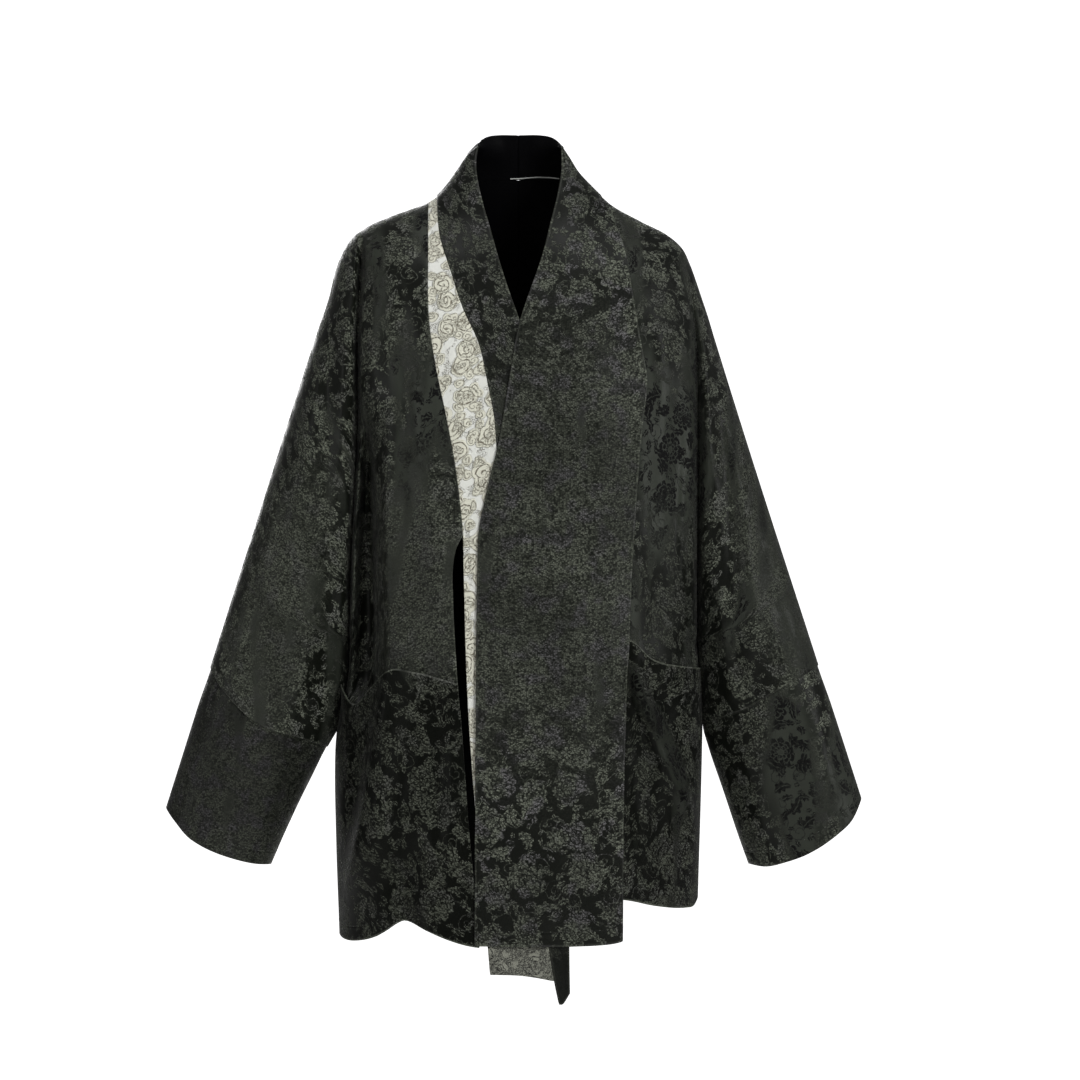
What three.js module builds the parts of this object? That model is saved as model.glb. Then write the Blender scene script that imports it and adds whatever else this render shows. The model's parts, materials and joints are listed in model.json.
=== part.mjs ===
// A kimono-cut jacket in dark figured silk with a pale inset, hollow, hanging as it does when worn.
// Millimetres. +X is towards the wearer's left, -Y is the front and +Z is up.
// The origin lies between the shoulders, at the height where the wearer carries the jacket.
import * as THREE from 'three';

// Wall thicknesses: a panel is silk and lining, a collar is folded double.
const panelWall = 1.6;
const collarWall = 2.6;
const seamGap = 0.3;

// How far the outer face of a piece stands off the panels' outer faces.
const collarLift = 1.0;
const pocketLift = 1.9;
// How far the left side front and its pocket reach under the left band.
const bandTuck = 14;

const underarmZ = -478;
const neckSeamZ = 32;
const collarTopZ = 81;
// The sleeves swing forwards by sleeveSwing at the cuff. The swing starts at swingX out from the centre
// and swingZ up, and it is full when swingReach further out and swingFall further down.
const sleeveSwing = 28;
const swingX = 205;
const swingZ = -140;
const swingReach = 130;
const swingFall = 420;

// Rows of numbers, given names by column.
const table = (names, rows) =>
  rows.map((row) => Object.fromEntries(names.map((name, i) => [name, row[i]])));

// Half depths of the hollow form by height: the trunk, the fold at the armhole and the sleeve, each
// to the front and to the back. roll is how far the form takes to round over from its upper outline.
// open is 1 where the fold at the armhole is a soft hollow and 0.5 where the cloth turns right in.
const form = table(
  ['z', 'front', 'back', 'creaseFront', 'creaseBack', 'armFront', 'armBack', 'roll', 'open'],
  [
    [81, 5, 50, 5, 50, 5, 50, 44, 1],
    [50, 23, 57, 23, 57, 23, 57, 48, 1],
    [30, 40, 62, 40, 62, 40, 62, 58, 1],
    [14, 51, 68, 51, 68, 51, 68, 70, 1],
    [-21, 65, 86, 62, 78, 62, 76, 88, 1],
    [-56, 79, 102, 66, 80, 68, 78, 92, 1],
    [-129, 102, 117, 62, 72, 67, 72, 74, 0.9],
    [-230, 122, 119, 56, 62, 64, 66, 60, 0.75],
    [-340, 127, 113, 49, 52, 61, 62, 62, 0.62],
    [-420, 129, 113, 42, 44, 60, 60, 65, 0.55],
    [underarmZ, 131, 115, 36, 38, 58, 58, 67, 0.5],
    [-600, 135, 120, 0, 0, 51, 52, 71, 0.5],
    [-724, 139, 125, 0, 0, 44, 46, 64, 0.5],
    [-870, 142, 129, 0, 0, 42, 44, 60, 0.5],
  ],
);
// Over this height above the underarm the fold at the armhole runs in to the underarm seam.
const underarmDrop = 120;
// How flat the trunk and the sleeve are across: at 2 a section is an ellipse.
const trunkCrown = 2.4;
const armCrown = 2;
// Folds fade out over these distances from the upper outline and from the armhole or the sides.
const calmOutline = 30;
const calmSide = 12;

// The upper outline of each half, down the collar, the shoulder and the top of the arm.
const ridge = {
  right: table(['x', 'z'], [
    [-44, 64], [-54, 56], [-66, 38.5], [-79, 21], [-89, 10], [-98.5, 3], [-120, -5.5], [-144, -14.3],
    [-164, -23], [-171.6, -28], [-180, -34], [-191, -49.5], [-199, -67], [-209, -105.6], [-220, -137.5],
    [-336.6, -507.5], [-385, -661], [-402, -715],
  ]),
  left: table(['x', 'z'], [
    [48, 64], [57, 50.6], [66, 36.3], [79, 22], [91, 10], [101, 1], [119, -10], [136, -18.7],
    [163, -32], [189, -65], [192.5, -74], [198, -90], [203, -105], [209, -123], [215.6, -145],
    [329, -505], [376, -651], [396, -715],
  ]),
};
// Rows of the outline where one piece ends and the next begins.
const stops = { collarTop: 0, neck: 4, inset: 5, crease: 9, cuffSeam: 15, cuffHem: 16 };

// The fold at the armhole, down to the underarm, and the trunk's side seam and the sleeve's inner
// side below it.
const crease = {
  right: table(['z', 'x'], [
    [64, -44], [-5, -120], [-28, -171.6], [-47, -171.5], [-107, -173], [-151, -175], [-249, -175],
    [-325, -179], [-390, -182.5], [underarmZ, -185],
  ]),
  left: table(['z', 'x'], [
    [64, 48], [-10, 119], [-65, 189], [-95, 190.5], [-150, 195], [-248, 196], [-390, 196],
    [underarmZ, 196.5],
  ]),
};
const sideSeam = {
  right: table(['z', 'x'], [
    [underarmZ, -185], [-520, -187], [-545, -192], [-575, -197], [-600, -199], [-700, -198],
    [-801, -194.5], [-870, -193],
  ]),
  left: table(['z', 'x'], [
    [underarmZ, 196.5], [-510, 199], [-560, 201], [-600, 200.5], [-660, 199], [-761, 196], [-870, 194],
  ]),
};
const sleeveSeam = {
  right: table(['z', 'x'], [
    [underarmZ, -185], [-500, -189.5], [-520, -191.5], [-545, -197], [-574, -202.5], [-596, -211],
    [-643.5, -234.3], [-693, -257.4], [-723.8, -270.6],
  ]),
  left: table(['z', 'x'], [
    [underarmZ, 196.5], [-500, 201.5], [-530, 204], [-569, 205.5], [-590, 208], [-643.5, 225.5],
    [-693, 242], [-723.8, 253],
  ]),
};

// Edges and seams that run down the front.
const down = {
  // The right front with the pale inset, and below where they part the free edge of each.
  inset: table(['z', 'x'], [
    [3, -98.5], [-52, -97.4], [-131, -95.7], [-183, -88], [-235, -77], [-287, -67.2], [-338, -60.7],
    [-363, -58.5],
  ]),
  rightEdge: table(['z', 'x'], [
    [-363, -58.5], [-377, -65.5], [-396, -69.2], [-436, -69.2], [-512, -65], [-589, -58.4], [-692, -50.8],
    [-754, -44.4], [-805.5, -40.5],
  ]),
  insetEdge: table(['z', 'x'], [
    [-363, -58.5], [-422, -57.4], [-529, -54.1], [-615, -48.7], [-743, -36.9], [-834, -29.3],
  ]),
  // The pale inset with the right collar, down to the collar's pointed end.
  collarSeam: table(['z', 'x'], [
    [10, -89], [-38, -84.4], [-78, -72.1], [-118, -59], [-157, -41.5], [-196, -32.8], [-235, -25.2],
    [-274, -22], [-380, -12], [-560, 6], [-720, 24], [-805, 33.8], [-841, 39.4], [-866, 44.5],
  ]),
  // The free edges of the right collar and of the left band.
  collarEdge: table(['z', 'x'], [
    [64, -44], [47.5, -46], [28.8, -44.6], [1.5, -38.9], [-25.3, -31.2], [-61, -21.3], [-96, -10.4],
    [-133, 2.6], [-200, 20], [-300, 35], [-480, 46], [-700, 54], [-853.8, 55.8],
  ]),
  bandEdge: table(['z', 'x'], [
    [64, 48], [38, 48.2], [10.5, 43.8], [-25.3, 35.1], [-61, 26.4], [-96.3, 14.5], [-133.4, 2.6],
    [-179, -5.9], [-223, -13.4], [-266.5, -20.9], [-325.6, -34.9], [-357.8, -41.3], [-390, -42.6],
    [-583, -44.4], [-803.4, -45.4],
  ]),
  // The left band's outer edge, a seam down to the bust and lying over the side front below it.
  bandSeam: table(['z', 'x'], [
    [10, 91], [-42.5, 113.3], [-97.5, 124], [-152, 132.4], [-195, 138.9], [-250, 133.3], [-375, 124.5],
    [-483, 119], [-562, 114.6], [-637, 112.4], [-799.5, 111.3],
  ]),
};

// How far the left band's outer face stands off the panels: it crosses the right collar and the pockets.
const bandLift = table(['z', 'lift'], [
  [90, collarLift], [-30, collarLift], [-125, 5.4], [-420, 5.4], [-480, 6.6], [-870, 6.6],
]);

// Hems, pocket mouths and the neck, from the wearer's right to left.
const hems = {
  right: table(['x', 'z'], [
    [-194.5, -801], [-189.4, -803.4], [-179, -804], [-155, -797.5], [-142, -790], [-128.7, -781],
    [-122, -778.4], [-115.6, -779.2], [-96, -788.3], [-76.6, -796.4], [-57, -802.5], [-40.5, -805.5],
  ]),
  left: table(['x', 'z'], [
    [97.5, -753], [123, -757], [149, -763.6], [183, -768.5], [191, -767.7], [196, -761],
  ]),
  band: table(['x', 'z'], [[-45.4, -803.4], [84, -803], [103.7, -801.4], [111.3, -799.5]]),
  inset: table(['x', 'z'], [[-29.3, -834], [3, -835], [21, -837.4], [39.4, -841]]),
  collar: table(['x', 'z'], [[44.5, -866], [48, -865.5], [55.8, -853.8]]),
  back: table(['x', 'z'], [[-194.5, -801], [-150, -786], [0, -776], [150, -764], [196, -761]]),
};
const mouths = {
  right: table(['x', 'z'], [
    [-192, -545], [-186, -528], [-178, -546], [-158, -528.5], [-136, -507.5], [-116, -509.5],
    [-94, -514.5], [-64.3, -523],
  ]),
  left: table(['x', 'z'], [
    [105.6, -470], [121, -476], [129, -482], [141, -494], [154, -500.5], [172, -504.5],
    [188, -507], [198.9, -508.5],
  ]),
};
const neckSeam = {
  right: table(['x', 'z'], [[-89, 10], [-70, 20], [-50, 27], [-25, 31], [0, neckSeamZ]]),
  left: table(['x', 'z'], [[0, neckSeamZ], [25, 31], [50, 27], [70, 21], [91, 10]]),
};
const collarTop = {
  right: table(['x', 'z'], [[-44, 64], [-42.5, 69], [-39.5, 73.5], [-33, 78], [-22, 80.5], [0, collarTopZ]]),
  left: table(['x', 'z'], [[0, collarTopZ], [24, 80.5], [36, 77.5], [43.5, 71.5], [48, 64]]),
};
const cuffSeam = {
  right: table(['x', 'z'], [
    [-336.6, -507.5], [-320, -532.4], [-281.6, -568.7], [-234.3, -586], [-211, -596],
  ]),
  left: table(['x', 'z'], [
    [205.5, -569], [231, -560], [252, -551], [292.6, -525.8], [322, -509.3], [329, -505],
  ]),
};
const cuffHem = {
  right: table(['x', 'z'], [
    [-385, -661], [-371.8, -676.5], [-358.6, -690.8], [-345.4, -699.6], [-332.2, -706.2], [-305.8, -716],
    [-286, -721.6], [-270.6, -723.8],
  ]),
  left: table(['x', 'z'], [
    [253, -723.8], [270.6, -724.9], [290.4, -719.4], [310.2, -711.7], [330, -700.7], [349.8, -686.4],
    [363, -674.3], [376, -651],
  ]),
};

// The largest folds. Each runs straight between two places and fades out at both ends. width is how
// far it spreads to either side and height is how far it stands out, or sinks in where negative.
const folds = table(
  ['face', 'part', 'x0', 'z0', 'x1', 'z1', 'width', 'height'],
  [
    ['front', 'trunk', -164, -260, -152, -560, 15, -13],
    ['front', 'trunk', -139, -225, -131, -520, 11, 7],
    ['front', 'trunk', -130, -515, -176, -760, 14, 9],
    ['front', 'trunk', -160, -560, -184, -700, 12, -7],
    ['front', 'trunk', -122, -700, -118, -830, 15, -8],
    ['front', 'trunk', 121, -470, 180, -690, 11, 6],
    ['front', 'trunk', 172, -200, 168, -420, 16, -5],
    ['front', 'sleeve', -205, -120, -222, -420, 9, -8],
    ['front', 'sleeve', -212, -330, -236, -560, 11, 7],
    ['front', 'sleeve', 216, -200, 236, -460, 9, -7],
    ['front', 'sleeve', 252, -300, 262, -520, 13, 5],
    ['back', 'trunk', -120, -150, -92, -700, 24, -8],
    ['back', 'trunk', -40, -250, -30, -790, 26, 7],
    ['back', 'trunk', 60, -220, 52, -780, 24, -7],
    ['back', 'trunk', 138, -160, 122, -740, 22, 8],
    ['back', 'sleeve', -214, -150, -236, -520, 12, -9],
    ['back', 'sleeve', 224, -160, 250, -530, 12, -9],
  ],
);

// How far each pocket gapes from its panel, as round bulges below the mouth.
const gapes = table(['x', 'z', 'wide', 'tall', 'height'], [
  [-137, -500, 34, 110, 14],
  [-183, -528, 7, 38, 8],
  [158, -492, 26, 95, 14],
]);

const clamp = (value) => Math.min(1, Math.max(0, value));
const smooth = (value) => clamp(value) ** 2 * (3 - 2 * clamp(value));
const mix = (from, to, share) => from + (to - from) * share;
// A quarter circle that starts upright at 0 and is level at 1.
const round = (value) => Math.sqrt(1 - (1 - clamp(value)) ** 2);
// Shares that lie closer together at the start.
const quarter = (t) => 1 - Math.cos((t * Math.PI) / 2);

// The value of a smooth curve through rows of a table, held at its ends.
function read(rows, key, name, value) {
  const downwards = rows[0][key] > rows.at(-1)[key];
  const last = rows.length - 2;
  const slope = (i) => (rows[i + 1][name] - rows[i][name]) / (rows[i + 1][key] - rows[i][key]);
  let i = 0;
  while (i < last && (downwards ? value < rows[i + 1][key] : value > rows[i + 1][key])) i += 1;
  const here = slope(i);
  const before = i > 0 ? (slope(i - 1) + here) / 2 : here;
  const after = i < last ? (slope(i + 1) + here) / 2 : here;
  const step = rows[i + 1][key] - rows[i][key];
  const t = clamp((value - rows[i][key]) / step);
  const bend = here * t * t * (3 - 2 * t) + before * t * (1 - t) ** 2 - after * t * t * (1 - t);
  return rows[i][name] + step * bend;
}

// Points at shares of the length of a smooth curve through places.
function along(places, shares) {
  let length = 0;
  const rows = places.map(({ x, z }, i) => {
    if (i > 0) length += Math.hypot(x - places[i - 1].x, z - places[i - 1].z);
    return { length, x, z };
  });
  const at = (share, name) => read(rows, 'length', name, share * length);
  return shares.map((share) => ({ x: at(share, 'x'), z: at(share, 'z') }));
}

const steps = (count, ease = (t) => t) => Array.from({ length: count + 1 }, (_, i) => ease(i / count));
const levels = (from, to, count, crowd = 1) => steps(count, (t) => mix(from, to, t ** crowd));
const joined = (...lists) => lists.reduce((all, list) => [...all, ...list.slice(1)]);
const flipped = (list) => [...list].reverse();
const onLine = (rows, heights) => heights.map((z) => ({ x: read(rows, 'z', 'x', z), z }));
const onRow = (rows, from, to, shares) =>
  shares.map((share) => mix(from, to, share)).map((x) => ({ x, z: read(rows, 'x', 'z', x) }));
const fractions = (places) => places.map(({ z }) => (z - places[0].z) / (places.at(-1).z - places[0].z));
// A stretch of a half's outline, by the names of its stops.
const stretch = (half, from, to) => ridge[half].slice(stops[from], stops[to] + 1);

// The outline as short straight steps, and how near to it a place counts as on it.
const ridgeSteps = 320;
const onRidge = 2;
const ridgeCourse = Object.fromEntries(
  Object.entries(ridge).map(([half, places]) => [half, along(places, steps(ridgeSteps))]),
);

// The stretch of the upper outline nearest to a place, and how far off it is.
function nearestRidge(half, x, z) {
  const places = ridgeCourse[half];
  let nearest = { distance: Infinity };
  for (let i = 1; i < places.length; i += 1) {
    const from = places[i - 1];
    const dx = places[i].x - from.x;
    const dz = places[i].z - from.z;
    const t = clamp(((x - from.x) * dx + (z - from.z) * dz) / (dx * dx + dz * dz));
    const distance = Math.hypot(x - from.x - t * dx, z - from.z - t * dz);
    if (distance < nearest.distance) nearest = { distance, dx, dz };
  }
  return nearest;
}

// Where the trunk or the sleeve turns in: at the armhole fold, and below the underarm at its seam.
function edgeAt(part, half, z) {
  if (z > underarmZ) return read(crease[half], 'z', 'x', z);
  return read((part === 'sleeve' ? sleeveSeam : sideSeam)[half], 'z', 'x', z);
}

function foldHeight(face, part, x, z) {
  return folds.filter((fold) => fold.face === face && fold.part === part).reduce((sum, fold) => {
    const dx = fold.x1 - fold.x0;
    const dz = fold.z1 - fold.z0;
    const length = Math.hypot(dx, dz);
    const share = ((x - fold.x0) * dx + (z - fold.z0) * dz) / length ** 2;
    const off = ((x - fold.x0) * dz - (z - fold.z0) * dx) / length;
    const fade = smooth(share / 0.3) * smooth((1 - share) / 0.25);
    return sum + fold.height * fade * Math.exp(-((off / fold.width) ** 2));
  }, 0);
}

// How far the form lies in front of or behind the plane of its side seams.
function depthAt(face, part, x, z) {
  const half = x < 0 ? 'right' : 'left';
  const suffix = face === 'front' ? 'Front' : 'Back';
  const value = (name) => read(form, 'z', name, z);
  const inward = value(`crease${suffix}`) * round((z - underarmZ) / underarmDrop);
  const toRidge = nearestRidge(half, x, z).distance;
  const edge = edgeAt(part, half, z);
  const outer = read(ridge[half], 'z', 'x', z);
  const fromEdge = Math.abs(x - edge);
  const crown = part === 'sleeve'
    ? 1 - (1 - clamp(2 * fromEdge / Math.max(1, Math.abs(outer - edge)))) ** armCrown
    : 1 - clamp(Math.abs(x / edge)) ** trunkCrown;
  const full = value(part === 'sleeve' ? `arm${suffix}` : face);
  const calm = smooth(toRidge / calmOutline) * smooth(fromEdge / calmSide);
  return round(toRidge / value('roll')) * mix(inward, full, crown ** value('open'))
    + calm * foldHeight(face, part, x, z);
}

// The plane of the side seams, which bends forwards with the hanging sleeves.
function seamPlane(x, z) {
  return -sleeveSwing * smooth((Math.abs(x) - swingX) / swingReach) * smooth((swingZ - z) / swingFall);
}

// Which way the form faces at a place.
function normalAt(face, part, x, z) {
  const sign = face === 'front' ? -1 : 1;
  const reach = 0.5;
  const y = (dx, dz) => seamPlane(x + dx, z + dz) + sign * depthAt(face, part, x + dx, z + dz);
  const slopeX = (y(reach, 0) - y(-reach, 0)) / (2 * reach);
  const slopeZ = (y(0, reach) - y(0, -reach)) / (2 * reach);
  return new THREE.Vector3(-slopeX, 1, -slopeZ).multiplyScalar(sign).normalize();
}

// Which way a seam on the upper outline or the side faces: straight out of the jacket's outline, and
// at the underarm, where both sides meet, straight down.
function seamNormal(part, x, z) {
  const half = x < 0 ? 'right' : 'left';
  const side = x < 0 ? -1 : 1;
  const { distance, dx, dz } = nearestRidge(half, x, z);
  if (distance < onRidge) return new THREE.Vector3(-side * dz, 0, side * dx).normalize();
  if (Math.abs(z - underarmZ) < 1) return new THREE.Vector3(0, 0, -1);
  const slope = edgeAt(part, half, z - 1) - edgeAt(part, half, z - 2);
  const outward = part === 'sleeve' ? -side : side;
  return new THREE.Vector3(outward, 0, -outward * slope).normalize();
}

// A grid of places between four edges that meet at their ends. Each row runs from the wearer's right
// to left, and the rows go down.
function patch({ top, bottom, left, right, us }) {
  const corner = (axis, u, v) => mix(
    mix(top[0][axis], top.at(-1)[axis], u), mix(bottom[0][axis], bottom.at(-1)[axis], u), v);
  const between = (axis, j, k, u, v) => mix(top[j][axis], bottom[j][axis], v)
    + mix(left[k][axis], right[k][axis], u) - corner(axis, u, v);
  return fractions(left).map((v, k) => us.map((u, j) =>
    ({ x: between('x', j, k, u, v), z: between('z', j, k, u, v) })));
}

// Puts a grid of places on the form, with the way it faces at each. Each of the seams names an edge
// of the grid, and from and to if only part of it is sewn: the edge is drawn back by half the seam's
// gap. A flat one is on the upper outline or the side seams, and crossing says that the piece goes on
// past it.
function place(face, part, grid, seams) {
  const sign = face === 'front' ? -1 : 1;
  const cells = grid.map((row) => row.map(({ x, z }) => ({
    point: new THREE.Vector3(x, seamPlane(x, z) + sign * depthAt(face, part, x, z), z),
    normal: normalAt(face, part, x, z),
  })));
  const column = (j, inside) => cells.map((row) => [row.at(j), row.at(inside)]);
  const row = (k, inside) => cells.at(k).map((cell, j) => [cell, cells.at(inside)[j]]);
  const edges = { top: row(0, 1), bottom: row(-1, -2), left: column(0, 1), right: column(-1, -2) };
  for (const { edge, from = 0, to = Infinity, flat = false, crossing = false } of seams) {
    const run = edges[edge];
    const moved = run.map(([{ point }, inside], i) => {
      if (flat) return point.clone().setY(seamPlane(point.x, point.z) + (crossing ? 0 : sign * seamGap / 2));
      const course = run[Math.min(run.length - 1, i + 1)][0].point.clone()
        .sub(run[Math.max(0, i - 1)][0].point).normalize();
      const inward = inside.point.clone().sub(point);
      return point.clone().add(inward.addScaledVector(course, -inward.dot(course)).setLength(seamGap / 2));
    });
    run.forEach(([cell], i) => {
      if (i < from || i > to) return;
      if (flat) cell.normal.copy(seamNormal(part, cell.point.x, cell.point.z));
      cell.point.copy(moved[i]);
    });
  }
  return cells;
}

// A sheet joins grids where they share points, and gives them a wall.
class Sheet {
  constructor() {
    this.points = [];
    this.normals = [];
    this.faces = [];
    this.ids = new Map();
  }

  idOf({ point, normal }) {
    const key = point.toArray().map((value) => Math.round(value * 1000)).join();
    if (!this.ids.has(key)) {
      this.ids.set(key, this.points.push(point.clone()) - 1);
      this.normals.push(new THREE.Vector3());
    }
    this.normals[this.ids.get(key)].add(normal);
    return this.ids.get(key);
  }

  add(face, part, grid, seams = []) {
    const ids = place(face, part, grid, seams).map((row) => row.map((cell) => this.idOf(cell)));
    for (let k = 1; k < ids.length; k += 1) {
      for (let j = 1; j < ids[k].length; j += 1) {
        const [a, b, c, d] = [ids[k - 1][j - 1], ids[k - 1][j], ids[k][j], ids[k][j - 1]];
        const pair = face === 'front' ? [[a, d, c], [a, c, b]] : [[a, c, d], [a, b, c]];
        this.faces.push(...pair.filter((corners) => new Set(corners).size === 3));
      }
    }
    return this;
  }

  solid(wall, lift = () => 0) {
    const face = (depth) => this.points.flatMap((point, i) =>
      point.clone().addScaledVector(this.normals[i].clone().normalize(), lift(point) - depth).toArray());
    const count = this.points.length;
    const triangles = this.faces.flatMap(([a, b, c]) => [[a, b, c], [a + count, c + count, b + count]]);
    const edges = new Set(this.faces.flatMap(([a, b, c]) => [`${a},${b}`, `${b},${c}`, `${c},${a}`]));
    // Both pieces at a seam split its end faces from the outer side's upper corner.
    const isHigher = (a, b) => this.points[a].z > this.points[b].z + 1e-3;
    for (const edge of edges) {
      const [a, b] = edge.split(',').map(Number);
      if (edges.has(`${b},${a}`)) continue;
      if (isHigher(a, b)) triangles.push([b, a, b + count], [a, a + count, b + count]);
      else triangles.push([b, a, a + count], [b, a + count, b + count]);
    }
    const geometry = new THREE.BufferGeometry();
    geometry.setAttribute('position', new THREE.Float32BufferAttribute([...face(0), ...face(wall)], 3));
    geometry.setIndex(triangles.flat());
    return geometry;
  }
}

const silk = new THREE.MeshStandardMaterial({ color: '#2b2d29', roughness: 0.62, metalness: 0 });
const pale = new THREE.MeshStandardMaterial({ color: '#cfd0c8', roughness: 0.55, metalness: 0 });
const group = new THREE.Group();

function addPiece(name, material, geometry) {
  const mesh = new THREE.Mesh(geometry, material);
  mesh.name = name;
  group.add(mesh);
}

// Rows that neighbouring pieces share: down to where the right front parts from the inset, on to the
// underarm, to the pocket's mouth and to the hem, and in the sleeve to the cuff's seam and its hem.
// hanging is the inset's and the collar's free length, and sewn and loose are the band's.
const rows = {
  upper: 10, middle: 3, mouth: 2, pocket: 6, sleeve: 5, cuff: 4, hanging: 10, sewn: 6, loose: 14,
};
const columns = { shoulder: 5, neck: 5, collar: 4, sleeve: 12 };
const underarmRow = rows.upper + rows.middle;
const mouthRow = underarmRow + rows.mouth;
// Rows lie closer together towards the shoulder and the neck.
const crowding = 1.5;
// The collar's free edge is this low where its seam is at the inset's hem.
const collarEdgeAtInsetHem = -830;
// Where the row at the parting meets each long edge, and the rows at the underarm and the pocket's
// mouth the front edge and the centre back.
const parting = { side: -372, front: -363, collarSeam: -355, collarEdge: -340 };
const frontRows = { underarm: -470, mouth: -520 };
// Where the left side front leaves the band's seam to reach under it, and the band's free edge there.
const tuck = { seam: -140, edge: -128, fall: 60 };
const mouthSide = { right: mouths.right[0].z, left: mouths.left.at(-1).z };
const hemSide = { right: hems.right[0].z, left: hems.left.at(-1).z };

const heightsDown = (top, level, underarm, mouth, hem) => joined(
  levels(top, level, rows.upper, crowding), levels(level, underarm, rows.middle),
  levels(underarm, mouth, rows.mouth), levels(mouth, hem, rows.pocket));

// From the armhole fold's top down the fold, and on down the trunk's side.
function sideCourse(half) {
  const top = ridge[half][stops.crease].z;
  const heights = heightsDown(top, parting.side, underarmZ, mouthSide[half], hemSide[half]);
  return heights.map((z) => ({ x: edgeAt('trunk', half, z), z }));
}

// Where the sleeve's inner side meets the cuff's seam and its hem.
const sleeveEnd = {
  right: { seam: cuffSeam.right.at(-1).z, hem: cuffHem.right.at(-1).z },
  left: { seam: cuffSeam.left[0].z, hem: cuffHem.left[0].z },
};

// The outline is to the left of a right sleeve's grid and to the right of a left sleeve's.
const outwards = { right: ['left', 'right'], left: ['right', 'left'] };
const ordered = (places) => (places[0].x < places.at(-1).x ? places : flipped(places));

const sleeveShares = steps(columns.sleeve, (t) => (1 - Math.cos(t * Math.PI)) / 2);

function sleeveGrid(half, { top, bottom, inner, outer }) {
  const [outerName, innerName] = outwards[half];
  return patch({
    us: sleeveShares,
    top,
    bottom: along(ordered(bottom), sleeveShares),
    [innerName]: inner,
    [outerName]: along(outer, fractions(inner)),
  });
}

// The sleeve to one face, from where the armhole's fold meets the outline to the seam of the cuff.
function addSleeve(sheet, face, half) {
  const fold = sideCourse(half).slice(0, underarmRow + 1);
  const below = onLine(sleeveSeam[half], levels(underarmZ, sleeveEnd[half].seam, rows.sleeve));
  const grid = sleeveGrid(half, {
    top: sleeveShares.map(() => fold[0]),
    bottom: cuffSeam[half],
    inner: joined(fold, below),
    outer: stretch(half, 'crease', 'cuffSeam'),
  });
  const [outerName, innerName] = outwards[half];
  return sheet.add(face, 'sleeve', grid, [
    { edge: 'bottom' },
    { edge: 'top', flat: true },
    { edge: outerName, flat: true },
    { edge: innerName, flat: true, from: underarmRow },
  ]);
}

function addCuff(sheet, face, half) {
  const grid = sleeveGrid(half, {
    top: along(ordered(cuffSeam[half]), sleeveShares),
    bottom: cuffHem[half],
    inner: onLine(sleeveSeam[half], levels(sleeveEnd[half].seam, sleeveEnd[half].hem, rows.cuff)),
    outer: stretch(half, 'cuffSeam', 'cuffHem'),
  });
  return sheet.add(face, 'sleeve', grid, [
    { edge: 'top' },
    { edge: 'left', flat: true, crossing: true },
    { edge: 'right', flat: true, crossing: true },
  ]);
}

// A front panel's two grids, above and below the line of the pocket's mouth, whose columns it shares.
function frontGrids(half, top, left, right) {
  const mouth = mouths[half];
  const us = mouth.map(({ x }) => (x - mouth[0].x) / (mouth.at(-1).x - mouth[0].x));
  const bottom = onRow(hems[half], left.at(-1).x, right.at(-1).x, us);
  const above = (side) => side.slice(0, mouthRow + 1);
  const below = (side) => side.slice(mouthRow);
  return {
    upper: patch({ us, top: along(top, us), bottom: mouth, left: above(left), right: above(right) }),
    lower: patch({ us, top: mouth, bottom, left: below(left), right: below(right) }),
  };
}

function rightFrontGrids() {
  const shoulder = ordered(stretch('right', 'inset', 'crease'));
  const heights = heightsDown(
    shoulder.at(-1).z, parting.front, frontRows.underarm, mouths.right.at(-1).z, hems.right.at(-1).z);
  const right = joined(
    onLine(down.inset, heights.slice(0, rows.upper + 1)), onLine(down.rightEdge, heights.slice(rows.upper)));
  return frontGrids('right', shoulder, sideCourse('right'), right);
}

// The left side front's edge is sewn to the band at the top and reaches under it further down.
const sewnHeights = levels(ridge.left[stops.neck].z, tuck.seam, rows.sewn, crowding);

function leftFrontGrids() {
  const mouth = mouths.left[0].z;
  const heights = joined(
    sewnHeights, levels(tuck.seam, mouth, mouthRow - rows.sewn), levels(mouth, hems.left[0].z, rows.pocket));
  const tucked = onLine(down.bandSeam, heights).map(({ x, z }) =>
    ({ x: x - bandTuck * smooth((tuck.seam - z) / tuck.fall), z }));
  return frontGrids('left', stretch('left', 'neck', 'crease'), tucked, sideCourse('left'));
}

function rightFront() {
  const { upper, lower } = rightFrontGrids();
  const sheet = new Sheet().add('front', 'trunk', upper, [
    { edge: 'right', to: rows.upper },
    { edge: 'top', flat: true },
    { edge: 'left', flat: true, from: underarmRow },
  ]).add('front', 'trunk', lower, [{ edge: 'left', flat: true }]);
  return addSleeve(sheet, 'front', 'right').solid(panelWall);
}

function leftSideFront() {
  const { upper, lower } = leftFrontGrids();
  const sheet = new Sheet().add('front', 'trunk', upper, [
    { edge: 'left', to: rows.sewn },
    { edge: 'top', flat: true },
    { edge: 'right', flat: true, from: underarmRow },
  ]).add('front', 'trunk', lower, [{ edge: 'right', flat: true }]);
  return addSleeve(sheet, 'front', 'left').solid(panelWall);
}

// The collar round the back of the neck, from the outline to the centre back.
const neckShares = steps(columns.neck);
const neckCourse = (half) => along(neckSeam[half], neckShares);
const collarSide = (half) => along(stretch(half, 'collarTop', 'neck'), steps(columns.collar));

function addBackCollar(sheet, half) {
  const top = along(collarTop[half], neckShares);
  const bottom = neckCourse(half);
  const [outerName, innerName] = outwards[half];
  const centre = levels(collarTopZ, neckSeamZ, columns.collar).map((z) => ({ x: 0, z }));
  const grid = patch({ us: neckShares, top, bottom, [outerName]: collarSide(half), [innerName]: centre });
  return sheet.add('back', 'trunk', grid, [
    { edge: 'bottom' },
    { edge: innerName },
    { edge: outerName, flat: true, crossing: true },
  ]);
}

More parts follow.
